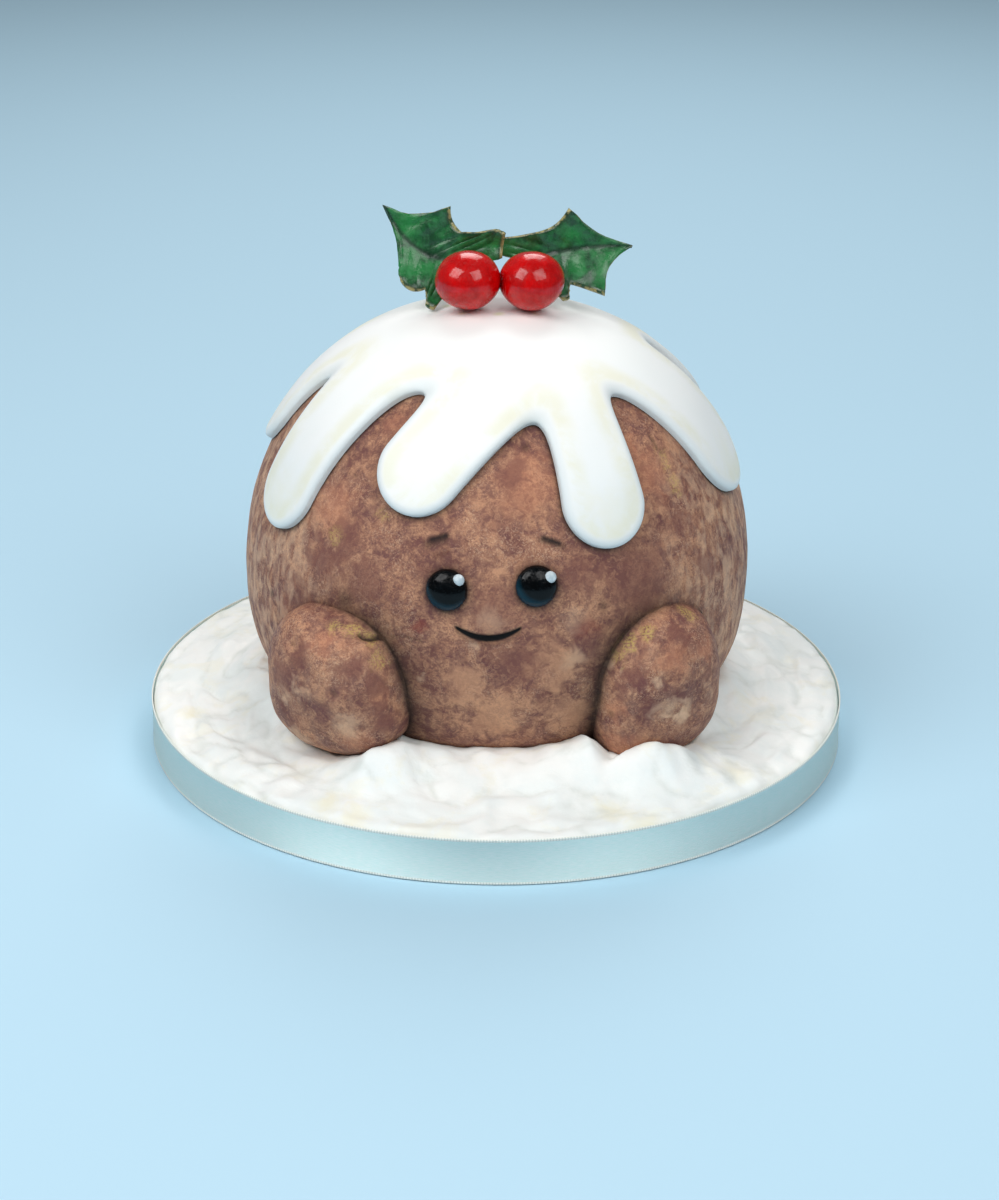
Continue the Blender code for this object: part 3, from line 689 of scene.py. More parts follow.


def make_pudding_paint():
    made, tree, sockets, places = start_material(
        "pudding_paste_paint", 0.62, Specular_IOR_Level=0.2)
    parts = add_node(tree, "ShaderNodeSeparateXYZ")
    feed(tree, parts.inputs[0], places)
    sideways = maths(tree, "ABSOLUTE", parts.outputs["X"])
    # the pale fibres grow stronger towards the sides, which also paints in the flanks' paler sheen
    flank = soft_step(tree, sideways, *FLANK_SHEEN_RISE, 0.02, 0.50)
    colour = brown_ground(tree, places, flank)
    for tint, strength, raggedness, marks in PUDDING_SPRAYS:
        colour = spray(tree, colour, places, marks, PASTE[tint], strength, raggedness * MM)
    colour = spray(tree, colour, places, PUDDING_DUST, PASTE["gold"], 0.5, 3 * MM, grain=True)
    # painted shade where the icing, the feet and the eyes meet the ball: a wide haze and a dark line
    # right at the edge
    for edge, haze, seam in PAINTED_SHADE_EDGES:
        near = vertex_value(tree, edge)
        close = maths(tree, "MULTIPLY", maths(tree, "POWER", near, 5.0), seam)
        shade = maths(tree, "MULTIPLY_ADD", near, haze, close)
        colour = mix_colours(tree, shade, colour, PASTE["smoke_and_shade"])
    colour = spray(tree, colour, places, BROW_SMUDGE, paint(84, 46, 38, GROUND_LIGHT), 0.7, 2 * MM)
    colour = spray(tree, colour, places, BROW_SMOKE, PASTE["smoke_and_shade"], 0.6)
    colour = spray(tree, colour, places, BROW_CORES, paint(20, 18, 20), 0.88, 0.3 * MM)
    # painted shade just under the carved smile
    shade_below_smile = smile_mask(tree, places, 2.0 * MM, 0.5 * MM)
    colour = lay_over(tree, colour, shade_below_smile, 0.5, PASTE["smoke_and_shade"])
    colour = mix_colours(tree, smile_mask(tree, places, 0.7 * MM, 0.0), colour, paint(10, 8, 9))
    finish_brown(tree, sockets, places, colour, 0.52, 0.5)
    return made


PUDDING_PAINT = make_pudding_paint()

# %% [markdown]
# ## Where the icing runs
# Poured icing is rolled out, cut to a splash with nine drips and laid over the ball.  The
# splash is easiest to describe laid out flat: each drip is a rounded bar that tapers, and all
# of them melt into the crown.  The depth inside the edge then says everything else: the
# outline, the rounding of the rim, and how near a place of the pudding is to the icing.

# %% Depth inside the icing's edge
ICING_CROWN_ARC = 46.0 * MM
ICING_WEB = 4.4 * MM
# azimuth in degrees, reach down the curve, half width of the end, shift and half width of the
# root, in mm
ICING_DRIPS = (
    (-92.6, 89.8, 13.0, 0.0, 15.0),
    (-59.6, 105.6, 13.5, 6.0, 15.1),
    (-20.3, 89.9, 13.7, 17.4, 14.7),
    (26.4, 100.1, 13.4, 0.2, 10.3),
    (75.5, 99.1, 18.2, -8.0, 18.0),
    (118.0, 86.0, 13.5, 3.0, 14.0),
    (157.0, 103.0, 13.5, -4.0, 12.5),
    (198.0, 88.0, 14.5, 5.0, 15.0),
    (233.5, 100.0, 12.5, -2.0, 12.0),
)


def icing_depth(x, y):
    """How far places of the flat sheet lie inside the icing's edge; takes arrays too."""
    arc = np.hypot(x, y)
    azimuth = np.arctan2(x, -y)
    around = np.interp(arc, SIDE_ARCS, SIDE_RADII)
    outside = [arc - ICING_CROWN_ARC]
    for aim, reach, end_half, root_shift, root_half in ICING_DRIPS:
        off = np.remainder(azimuth - math.radians(aim) + math.pi, 2 * math.pi) - math.pi
        run_x = -root_shift * MM
        run_y = (reach - end_half) * MM - ICING_CROWN_ARC
        here_x = around * off - root_shift * MM
        here_y = arc - ICING_CROWN_ARC
        share = np.clip((here_x * run_x + here_y * run_y) / (run_x ** 2 + run_y ** 2), 0, 1)
        width = (root_half + (end_half - root_half) * share) * MM
        outside.append(np.hypot(here_x - run_x * share, here_y - run_y * share) - width)
    outside = np.array(outside)
    nearest = outside.min(axis=0)
    return ICING_WEB * np.log(np.exp((nearest - outside) / ICING_WEB).sum(axis=0)) - nearest


def to_depth(x, y, depth, rounds=4):
    """Slides places of the flat sheet uphill or downhill until they lie at one depth."""
    step = 0.1 * MM
    for _ in range(rounds):
        east = (icing_depth(x + step, y) - icing_depth(x - step, y)) / (2 * step)
        north = (icing_depth(x, y + step) - icing_depth(x, y - step)) / (2 * step)
        short = (depth - icing_depth(x, y)) / (east ** 2 + north ** 2)
        x = x + east * short
        y = y + north * short
    return x, y, east, north


print("the crown is", round(float(icing_depth(0.0, 0.0)) / MM, 1), "mm inside the edge")

# %% [markdown]
# ## Feet
# Each foot is a lump of brown paste pressed against the ball and into the white paste.  A
# sphere is pulled to a rounded box in the foot's own frame and dented as fingers and a tool
# do; one crease runs to the left foot's inner edge.  A Boolean could cut the ball out of it,
# but pushing whatever lies inside the ball back onto its side keeps the mesh in even rows.

# %% Foot shape
# azimuth, turn, roll in degrees; distance from the axis, height, half width, half height in mm
FEET = {
    "foot_left": (-37.3, -40.0, 2.0, 79.5, 43.8, 24.2, 25.7),
    "foot_right": (38.8, 40.0, -1.0, 77.0, 43.6, 22.1, 26.0),
}
FOOT_HALF_DEPTH = 18.0
FOOT_LEAN = 8.0
FOOT_TAPER = 0.08
FOOT_ROUNDNESS = 0.82
FOOT_LEFT_RISE = 0.16             # the left one's sole is higher on the side of the face
FOOT_SOLE = 17.3 * MM
FOOT_REST = 0.15 * MM             # left between a foot and the pudding


def foot_frame(name):
    azimuth, turn_angle, roll_angle, distance, height = FEET[name][:5]
    aim = math.radians(azimuth)
    centre = Vector((distance * math.sin(aim), -distance * math.cos(aim), height)) * MM
    return (Matrix.Translation(centre)
            @ Matrix.Rotation(math.radians(turn_angle), 4, "Z")
            @ Matrix.Rotation(math.radians(FOOT_LEAN), 4, "X")
            @ Matrix.Rotation(math.radians(roll_angle), 4, "Y"))


def foot_place(name, ball):
    """Where a point of the unit ball comes to lie on a foot."""
    half_width, half_height = FEET[name][5:]
    x, y, z = (math.copysign(abs(c) ** FOOT_ROUNDNESS, c) for c in ball)
    local = Vector((x * half_width * (1 - FOOT_TAPER * z), y * FOOT_HALF_DEPTH, z * half_height))
    if name == "foot_left" and z < 0:
        local.z *= 1 - FOOT_LEFT_RISE * (0.5 + 0.5 * x)
    return foot_frame(name) @ (local * MM)


def foot_front(name, across, up):
    """A point on the front of a foot: across and up run from -1 to 1 over its face."""
    power = 1 / FOOT_ROUNDNESS
    x = math.copysign(abs(across) ** power, across)
    z = math.copysign(abs(up) ** power, up)
    y = -math.sqrt(max(0.0, 1 - x * x - z * z))
    return foot_place(name, (x, y, z))


# dents pressed with a finger or a tool: foot, across, up, radius and depth in mm
FOOT_DENTS = (
    ("foot_left", -0.24, 0.70, 2.4, 1.0),
    ("foot_left", 0.60, 0.45, 5.0, 0.9),
    ("foot_left", 0.52, 0.29, 1.5, 0.5),
    ("foot_left", 0.10, 0.40, 5.0, 0.6),
    ("foot_right", -0.40, 0.40, 2.4, 0.7),
    ("foot_right", 0.06, -0.26, 1.4, 0.5),
    ("foot_right", -0.97, -0.12, 1.8, 0.5),
    ("foot_right", -0.10, 0.10, 5.0, 0.6),
)
FOOT_CREASE = [foot_front("foot_left", across, up)
               for across, up in ((0.59, 0.87), (0.64, 0.84), (0.70, 0.80))]
FOOT_CREASE.append(foot_place("foot_left", (0.68, 0.12, 0.72)))
CREASE_WIDTH = 0.8 * MM
CREASE_DEPTH = 0.9 * MM


def off_crease(place):
    """How far a place is from the crease that a tool pressed into the left foot."""
    steps = []
    for start, end in zip(FOOT_CREASE, FOOT_CREASE[1:]):
        run = end - start
        share = min(max((place - start).dot(run) / run.length_squared, 0), 1)
        steps.append((place - start - run * share).length)
    return min(steps)


def make_foot_shape(name):
    bm = bmesh.new()
    bmesh.ops.create_uvsphere(bm, u_segments=150, v_segments=110, radius=1.0)
    crease = bm.verts.layers.float.new("crease")
    centre = foot_frame(name).translation
    dents = [(foot_front(foot, across, up), radius * MM, depth * MM)
             for foot, across, up, radius, depth in FOOT_DENTS if foot == name]
    for vertex in bm.verts:
        place = foot_place(name, vertex.co)
        outward = (place - centre).normalized()
        lift = hand_marks(place, 0.9 * MM, 15 * MM, 0.25 * MM, 5 * MM)
        for middle, radius, depth in dents:
            lift -= depth * fading((place - middle).length, radius)
        if name == "foot_left":
            vertex[crease] = fading(off_crease(place), CREASE_WIDTH)
            lift -= CREASE_DEPTH * vertex[crease]
        vertex.co = place + lift * outward
        vertex.co.z = max(vertex.co.z, FOOT_SOLE)
    press_on_pudding(bm, FOOT_REST)
    return bm


foot_shapes = {name: make_foot_shape(name) for name in FEET}
foot_trees = {name: BVHTree.FromBMesh(bm) for name, bm in foot_shapes.items()}
print("feet:", {name: len(bm.faces) for name, bm in foot_shapes.items()})


# %% Foot marks
def foot_marks(name, marks):
    """Round marks on a foot: across, up, radius and softness in mm."""
    return [(foot_front(name, across, up), foot_front(name, across, up), radius * MM, softness * MM)
            for across, up, radius, softness in marks]


# tint, strength, raggedness in mm, and the marks
FOOT_SPRAYS = (
    ("warm", 0.40, 5.0, foot_marks("foot_left", [(0.26, 0.81, 4, 3), (0.95, 0.20, 2.5, 2),
                                                (0.68, -0.43, 5, 3)])
     + foot_marks("foot_right", [(-0.95, -0.03, 3, 2), (-0.82, -0.53, 5, 3), (0.3, 0.6, 4, 3),
                                 (-0.3, 0.6, 5, 3)])),
    ("plum", 0.70, 6.0, foot_marks("foot_left", [(-0.05, 0.60, 3.5, 2), (-0.36, 0.30, 4, 2),
                                                (0.66, 0.58, 4.5, 2.5), (0.91, 0.36, 3.5, 2),
                                                (0.93, 0.06, 2.5, 1.5), (0.97, -0.16, 2.5, 2)])
     + foot_marks("foot_right", [(-0.05, 0.87, 3.2, 2), (-0.83, 0.40, 3, 1.6),
                                 (-0.92, 0.24, 3, 1.6), (-0.68, 0.15, 3, 1.6),
                                 (-0.10, 0.17, 2.4, 1.8), (0.34, 0.36, 2.0, 1.8)])),
    ("mauve", 0.65, 5.0, foot_marks("foot_left", [(0.31, -0.08, 3.5, 2), (0.52, 0.29, 2.4, 1.6)])
     + foot_marks("foot_right", [(-0.76, 0.32, 2.4, 1.4), (-0.66, 0.02, 2.6, 1.4)])),
    ("pale", 0.50, 5.5, foot_marks("foot_left", [(0.65, -0.18, 3.5, 3), (-0.30, -0.01, 2, 2.4),
                                                (-0.01, 0.21, 2.2, 2.4), (-0.2, -0.6, 3, 3)])
     + foot_marks("foot_right", [(-0.52, 0.40, 1.8, 1.8), (-0.42, -0.01, 2.8, 2.6),
                                 (-0.03, -0.04, 2, 2.2), (-0.15, -0.18, 2, 2.2),
                                 (0.36, 0.09, 1.8, 2.2), (-0.94, 0.44, 1.6, 1.8)])),
)
FOOT_DUST = (foot_marks("foot_left", [(0.51, 0.91, 3.0, 2), (0.25, 0.96, 2.4, 1.8),
                                      (0.70, 0.80, 2.4, 1.8), (0.86, 0.61, 2.4, 2)])
             + foot_marks("foot_right", [(0.28, 0.95, 2.6, 1.6), (-0.52, 0.88, 2.6, 1.8),
                                         (-0.74, 0.75, 2.6, 1.8), (-0.86, 0.60, 2.4, 1.8)]))
# dark marks, mostly painted shade in the pressed dents and along the right foot's upper right edge
FOOT_SMOKE_AND_SHADE = (foot_marks("foot_left", [(-0.24, 0.70, 0.7, 0.9), (0.52, 0.29, 0.7, 1.4),
                                       (0.27, 0.95, 0.5, 1.2)])
              + foot_marks("foot_right", [(-0.97, -0.12, 0.9, 1.2), (-0.40, 0.40, 0.5, 0.8),
                                          (0.79, 0.71, 1.6, 2.0), (0.06, -0.26, 0.2, 0.5)]))
print("airbrush marks on the feet:", sum(len(spray_job[3]) for spray_job in FOOT_SPRAYS))


# %% The feet's material
def make_foot_paint():
    made, tree, sockets, places = start_material(
        "foot_paste_paint", 0.62, Specular_IOR_Level=0.2)
    colour = brown_ground(tree, places, 0.08)
    for tint, strength, raggedness, marks in FOOT_SPRAYS:
        colour = spray(tree, colour, places, marks, PASTE[tint], strength, raggedness * MM)
    colour = spray(tree, colour, places, FOOT_DUST, PASTE["gold"], 0.72, 3 * MM, grain=True)
    # painted shade in the feet's dents and along an edge
    colour = spray(tree, colour, places, FOOT_SMOKE_AND_SHADE, PASTE["smoke_and_shade"], 0.65, 0.5 * MM)
    # painted shade darkens the crease pressed into the left foot
    colour = lay_over(tree, colour, vertex_value(tree, "crease"), 0.9, paint(20, 14, 12))
    # painted shade where the foot meets the ball
    colour = lay_over(tree, colour, vertex_value(tree, "ball_edge_shade"), 0.85, PASTE["smoke_and_shade"])
    finish_brown(tree, sockets, places, colour, 0.50, 0.55)
    return made


FOOT_PAINT = make_foot_paint()

# %% Finish the feet
FOOT_EDGE_FADE = 1.8 * MM         # the painted shade along the ball is strongest on the inner side

for name, bm in foot_shapes.items():
    edge = bm.verts.layers.float.new("ball_edge_shade")
    inner_side = 1.0 if name == "foot_left" else -1.0
    middle_azimuth = math.radians(FEET[name][0])
    for vertex in bm.verts:
        gap = math.hypot(vertex.co.x, vertex.co.y) - side_radius(vertex.co.z) - FOOT_REST
        azimuth = math.atan2(vertex.co.x, -vertex.co.y)
        inner = 0.5 + 0.5 * math.tanh(8 * inner_side * (azimuth - middle_azimuth))
        vertex[edge] = math.exp(-max(gap, 0.0) / FOOT_EDGE_FADE) * (0.35 + 0.65 * inner)
    finish_piece("lump_" + name, bm, FOOT_PAINT, name)

# %% [markdown]
# ## The ball itself
# A line spun round the axis gives the ball.  Real paste is never that true, so each vertex
# moves in or out a little: broad dents from smoothing by hand, small pits from a tool.  The
# smile is carved, so the mesh is made finer just there and the groove is pressed in.  Three
# vertex values note how close the icing, the feet and the eyes are, for the painted shade
# along their edges.

# %% Ball mesh
EYES = {"eye_left": (-15.0, 80.7), "eye_right": (12.0, 82.2)}     # x and height in mm
EYE_RADIUS = 6.35 * MM
BALL_ROWS = 176
BALL_STEPS = 384
SMILE_DEPTH = 0.9 * MM
SMILE_PATCH = (13 * MM, 6 * MM)   # half width and half height of the patch with finer faces

arcs = np.linspace(0.0, SIDE_ARC, BALL_ROWS)
side = [(float(np.interp(arc, SIDE_ARCS, SIDE_RADII)), float(np.interp(arc, SIDE_ARCS, SIDE_HEIGHTS)))
        for arc in arcs]
ball = turned(side + [(0.0, PUDDING_BASE)], BALL_STEPS)
near_smile = []
for face in ball.faces:
    middle = face.calc_center_median()
    if (middle.y < 0 and abs(middle.x - SMILE_MIDDLE) < SMILE_PATCH[0]
            and abs(middle.z - SMILE_CORNER_HEIGHT + 2 * MM) < SMILE_PATCH[1]):
        near_smile.append(face)
smile_edges = list({edge for face in near_smile for edge in face.edges})
bmesh.ops.subdivide_edges(ball, edges=smile_edges, cuts=3, use_grid_fill=True)
print("ball:", len(ball.faces), "faces,", len(near_smile), "of them were made finer for the smile")


# %% Dents, pits and the carved smile
def smile_press(place):
    """How deep the smile is pressed in at a place."""
    share = (place.x - SMILE_MIDDLE) / SMILE_HALF
    if place.y > 0 or abs(share) > 1.05:
        return 0.0
    bulge = max(0.0, 1 - share ** 2)
    away = abs(place.z - SMILE_CORNER_HEIGHT + SMILE_SAG * bulge)
    width = SMILE_WIDTH * (0.2 + 0.45 * math.sqrt(bulge))
    return SMILE_DEPTH * (0.2 + 0.8 * math.sqrt(bulge)) * math.exp(-(away / width) ** 4)


PIT_DEPTH = 0.35 * MM
ICING_FADE = 2.6 * MM
FOOT_FADE = 5.0 * MM
EYE_FADE = 1.3 * MM
BASE_CALM = 4 * MM                # over this height above the base the unevenness sets in

pits = [(start, radius + softness) for start, _, radius, softness in PUDDING_PITS]
layers = {edge: ball.verts.layers.float.new(edge) for edge, _, _ in PAINTED_SHADE_EDGES}
places = np.array([vertex.co for vertex in ball.verts])
ball_azimuths = np.arctan2(places[:, 0], -places[:, 1])
ball_arcs = arc_at(places[:, 2])
ball_depths = icing_depth(ball_arcs * np.sin(ball_azimuths), -ball_arcs * np.cos(ball_azimuths))
eye_places = [on_front(*eye) for eye in EYES.values()]

for vertex, azimuth, arc, depth in zip(ball.verts, ball_azimuths, ball_arcs, ball_depths):
    place = vertex.co.copy()
    free = min(1.0, (place.z - PUDDING_BASE) / BASE_CALM)
    lift = hand_marks(place, 0.35 * MM, 20 * MM, 0.12 * MM, 6 * MM)
    for middle, radius in pits:
        away = (place - middle).length
        if away < 3 * radius:
            lift -= PIT_DEPTH * fading(away, radius)
    lift -= smile_press(place)
    vertex[layers["icing_edge"]] = math.exp(min(depth, 0.0) / ICING_FADE)
    for name, tree in foot_trees.items():
        nearest = tree.find_nearest(place, 16 * MM)
        if nearest[0] is not None:
            inner = 0.6 + 0.4 * math.tanh(6 * (abs(math.radians(FEET[name][0])) - abs(azimuth)))
            near = math.exp(-nearest[3] / FOOT_FADE) * inner
            vertex[layers["foot_edge"]] = max(vertex[layers["foot_edge"]], near)
    rim = min((place - middle).length for middle in eye_places) - EYE_RADIUS
    vertex[layers["eye_edge"]] = math.exp(-max(rim, 0.0) / EYE_FADE)
    vertex.co = place + outward_at(azimuth, arc) * lift * free

finish_piece("pudding_ball", ball, PUDDING_PAINT, "pudding")

# %% [markdown]
# ## Poured icing
# Laid flat, the icing is a sheet: a grid for its middle, and rings of edges that follow the
# outline, so that the rounded rim gets clean rows of faces.  The strip between grid and rings
# is filled with triangles.  Extruding the sheet gives it two sides, and every vertex is then
# wrapped over the ball at its own height, thin at the rim and full inside.

# %% Icing, laid out flat
ICING_TOP = 3.3 * MM
ICING_UNDERSIDE = 0.25 * MM
ICING_LIP = 0.45                  # share of the thickness that stands up at the very edge
ICING_EDGE_ROUND = 2.6 * MM
ICING_CELL = 1.5 * MM             # of the grid in its middle
ICING_STEP = 1.25 * MM            # along its outline
ICING_WAVE = 0.30 * MM
ICING_WAVE_LENGTH = 17 * MM
ICING_WAVE_IN = 3 * MM            # the waves set in over this depth inside the edge
RIM_RINGS = 7


def walk_outline(depth):
    """Goes once round the icing at one depth and returns evenly spaced places."""
    x, y, east, north = to_depth(0.0, -ICING_CROWN_ARC, depth, 12)
    walked = []
    while len(walked) < 8 or math.dist((x, y), walked[0]) > 0.75 * ICING_STEP:
        walked.append((float(x), float(y)))
        slope = math.hypot(east, north) / ICING_STEP
        x, y, east, north = to_depth(x + north / slope, y - east / slope, depth, 3)
    return walked


reach = max(drip[1] for drip in ICING_DRIPS) * MM
sheet = bmesh.new()
cells = int(2 * reach / ICING_CELL)
bmesh.ops.create_grid(sheet, x_segments=cells, y_segments=cells, size=reach)
flat = np.array([vertex.co for vertex in sheet.verts])
depths = icing_depth(flat[:, 0], flat[:, 1])
shallow = [vertex for vertex, depth in zip(sheet.verts, depths)
           if depth < ICING_EDGE_ROUND + 0.5 * ICING_CELL]
bmesh.ops.delete(sheet, geom=shallow, context="VERTS")
loose = [vertex for vertex in sheet.verts if not vertex.link_faces]
bmesh.ops.delete(sheet, geom=loose, context="VERTS")
stray = [edge for edge in sheet.edges if not edge.link_faces]
bmesh.ops.delete(sheet, geom=stray, context="EDGES")
stairs = [edge for edge in sheet.edges if edge.is_boundary]
outline = [sheet.verts.new((x, y, 0.0)) for x, y in walk_outline(ICING_EDGE_ROUND)]
rim = [sheet.edges.new((outline[i - 1], outline[i])) for i in range(len(outline))]
bmesh.ops.triangle_fill(sheet, use_beauty=True, use_dissolve=False, edges=stairs + rim,
                        normal=(0, 0, 1))
print("flat icing:", len(sheet.faces), "faces, outline of", len(outline), "steps")

# %% Rings of the rounded rim
for ring in range(1, RIM_RINGS + 1):
    quarter = math.pi / 2 * ring / RIM_RINGS
    grown = bmesh.ops.extrude_edge_only(sheet, edges=rim)["geom"]
    new_verts = [part for part in grown if isinstance(part, bmesh.types.BMVert)]
    rim = [part for part in grown if isinstance(part, bmesh.types.BMEdge)]
    flat = np.array([vertex.co for vertex in new_verts])
    x, y, _, _ = to_depth(flat[:, 0], flat[:, 1], ICING_EDGE_ROUND * (1 - math.sin(quarter)))
    for vertex, new_x, new_y in zip(new_verts, x, y):
        vertex.co = (new_x, new_y, 0.0)
print("rim of", RIM_RINGS, "rings, now", len(sheet.faces), "faces")


# %% Icing, wrapped over the ball
def icing_lift(depth):
    """Height of the icing's face over the pudding, rounded down towards its edge."""
    share = min(max(depth / ICING_EDGE_ROUND, 0.0), 1.0)
    round_edge = math.sqrt(1.0 - (1.0 - share) ** 2)
    full = ICING_TOP - ICING_UNDERSIDE
    return ICING_UNDERSIDE + full * (ICING_LIP + (1.0 - ICING_LIP) * round_edge)


for face in sheet.faces:
    if face.normal.z < 0:
        face.normal_flip()
top_layer = sheet.verts.layers.int.new("top_side")
edge_layer = sheet.verts.layers.float.new("rim_depth")
for part in bmesh.ops.extrude_face_region(sheet, geom=sheet.faces[:])["geom"]:
    if isinstance(part, bmesh.types.BMVert):
        part[top_layer] = 1
flat = np.array([vertex.co for vertex in sheet.verts])
depths = icing_depth(flat[:, 0], flat[:, 1])
for vertex, depth in zip(sheet.verts, depths):
    arc = math.hypot(vertex.co.x, vertex.co.y)
    azimuth = math.atan2(vertex.co.x, -vertex.co.y)
    if not vertex[top_layer]:
        lift = ICING_UNDERSIDE
    else:
        wave = noise.noise(Vector((vertex.co.x, vertex.co.y, 0.0)) / ICING_WAVE_LENGTH)
        lift = icing_lift(depth) + ICING_WAVE * wave * min(1.0, depth / ICING_WAVE_IN)
    vertex[edge_layer] = depth / MM
    vertex.co = over_pudding(azimuth, arc, lift)
print("icing:", len(sheet.faces), "faces,", sum(vertex[top_layer] for vertex in sheet.verts),
      "of", len(sheet.verts), "vertices on the outside")

# %% [markdown]
# ## Icing finish
# White sugar paste is smooth and satin.  Cream was sprayed above the arches between the drips,
# inside the tips and in a broken band along the edge, small yellow-green marks lie near the
# leaves, and the very rim gets a painted bluish-grey shade.  A band could be a texture of its
# own, but the vertices already know how deep inside the edge they lie, so that value shapes the
# band and the painted shade of the rim.

# %% Icing material
def icing_spot(azimuth, arc, radius, softness):
    """A round mark on the icing: degrees from the face, mm down from the top."""
    place = over_pudding(math.radians(azimuth), arc * MM, ICING_TOP)
    return place, place, radius * MM, softness * MM


ARCH_MARKS = [icing_spot(-35, 55, 3.5, 5), icing_spot(8, 60, 4, 5), icing_spot(-77, 62, 3, 4),
              icing_spot(44, 62, 3.5, 4.5)]
ARCH_MARKS += [icing_spot(azimuth, 60, 3.5, 4.5) for azimuth in (96, 138, 177, 216, 250)]
YELLOW_GREEN_MARKS = [icing_spot(0, 9, 1.2, 1.6), icing_spot(-58, 13, 1.0, 1.6),
               icing_spot(58, 13, 1.0, 1.6), icing_spot(-95, 16, 1.2, 1.6)]
TIP_MARKS = [icing_spot(aim, tip - 11, 5, 6) for aim, tip, _, _, _ in ICING_DRIPS]
CREAM = (0.84, 0.82, 0.62, 1.0)
RIM_SHADE_BLUE = (0.60, 0.67, 0.68, 1.0)


def make_icing_paint():
    made, tree, sockets, places = start_material(
        "poured_icing_paint", 0.42, Specular_IOR_Level=0.4)
    colour = mix_colours(tree, dabs(tree, places, 30 * MM, 0.5, 0.2), (0.90, 0.92, 0.90, 1.0),
                         (0.93, 0.93, 0.91, 1.0))
    colour = spray(tree, colour, places, ARCH_MARKS, (0.72, 0.70, 0.56, 1.0), 0.45, 3 * MM)
    colour = spray(tree, colour, places, TIP_MARKS, (0.88, 0.84, 0.60, 1.0), 0.25, 5 * MM)
    depth = vertex_value(tree, "rim_depth")
    band = maths(tree, "MULTIPLY", soft_step(tree, depth, 1.5, 3.5),
                 soft_step(tree, depth, 4.5, 10.0, 1.0, 0.0))
    band = maths(tree, "MULTIPLY", band, dabs(tree, places, 16 * MM, 0.47, 0.14))
    colour = lay_over(tree, colour, band, 0.6, CREAM)
    # painted bluish-grey shade on the rounded rim
    colour = mix_colours(tree, soft_step(tree, depth, 0.0, 3.2, 0.50, 0.0), colour, RIM_SHADE_BLUE)
    # small yellow-green marks near the leaves
    colour = spray(tree, colour, places, YELLOW_GREEN_MARKS, (0.62, 0.70, 0.26, 1.0), 0.55, MM)
    feed(tree, sockets["Base Color"], colour)
    fine = dabs(tree, places, 1.8 * MM, 0.5, 0.3, 0.1)
    feed(tree, sockets["Roughness"], soft_step(tree, fine, 0.0, 1.0, 0.40, 0.50))
    add_bump(tree, sockets, fine, 0.05 * MM, 0.3)
    return made


ICING_PAINT = make_icing_paint()
finish_piece("poured_icing", sheet, ICING_PAINT, "icing_cap")

# %% [markdown]
# ## Eyes
# The eyes are black paste lenses, brushed with glaze, each with a white ball pressed in.  A
# sphere flattened to a lens and pressed on the ball makes each of them.  Glaze could be the
# shader's coat, but black so dark shows nothing below it, so a low roughness does, and fine
# brush marks break up the reflections.  A thin crescent of painted blue reflection lies along
# each eye's lower edge.

# %% Eye shapes and finish
EYE_BULGE = 3.6 * MM
EYE_DOT_RADIUS = 1.8 * MM
EYE_DOT_BULGE = 1.1 * MM
EYE_DOT_PLACES = {"eye_left": (3.9 * MM, 3.6 * MM), "eye_right": (3.9 * MM, 2.9 * MM)}
EYE_REST = 0.1 * MM               # left between an eye and the pudding
CRESCENT_SHIFT = (0.7, 1.5)       # mm to the right and up, where the eye shows no painted blue reflection


def lens(radius, bulge, place_frame, segments, rings):
    """A flattened sphere in a frame whose -Y points outwards."""
    bm = bmesh.new()
    bmesh.ops.create_uvsphere(bm, u_segments=segments, v_segments=rings, radius=1.0)
    size = Matrix.Diagonal((radius, bulge, radius, 1.0))
    bmesh.ops.transform(bm, matrix=place_frame @ size, verts=bm.verts)
    return bm


def make_eye_paint():
    made, tree, sockets, places = start_material(
        "glazed_black", 0.06, Specular_IOR_Level=0.2)
    ink = mix_colours(tree, dabs(tree, places, 3 * MM), (0.0004, 0.0008, 0.0012, 1.0),
                      (0.0010, 0.0020, 0.0028, 1.0))
    # painted blue reflection in a crescent along each eye's lower edge
    crescent = 1.0
    for x, height in EYES.values():
        centre = tuple(on_front(x + CRESCENT_SHIFT[0], height + CRESCENT_SHIFT[1]))
        black = use_group(tree, STROKE, {"Vector": places, "Start": centre, "End": centre,
                                         "Radius": EYE_RADIUS + 0.1 * MM,
                                         "Softness": 0.7 * MM})
        crescent = maths(tree, "SUBTRACT", crescent, black)
    crescent = maths(tree, "MULTIPLY", maths(tree, "MAXIMUM", crescent, 0.0), 0.9)
    ink = mix_colours(tree, crescent, ink, (0.0010, 0.0300, 0.0500, 1.0))
    feed(tree, sockets["Base Color"], ink)
    brushed = fibres(tree, places, 0.40 * MM, 1.6 * MM, 0.56, 0.08)
    feed(tree, sockets["Roughness"], soft_step(tree, brushed, 0.0, 1.0, 0.05, 0.14))
    add_bump(tree, sockets, brushed, 0.05 * MM, 0.5)
    return made


def make_eye_white_paint():
    made, tree, sockets, places = start_material("eye_white_paint", 0.3)
    colour = mix_colours(tree, dabs(tree, places, 1.5 * MM), (0.50, 0.58, 0.62, 1.0),
                         (0.70, 0.76, 0.79, 1.0))
    feed(tree, sockets["Base Color"], colour)
    return made


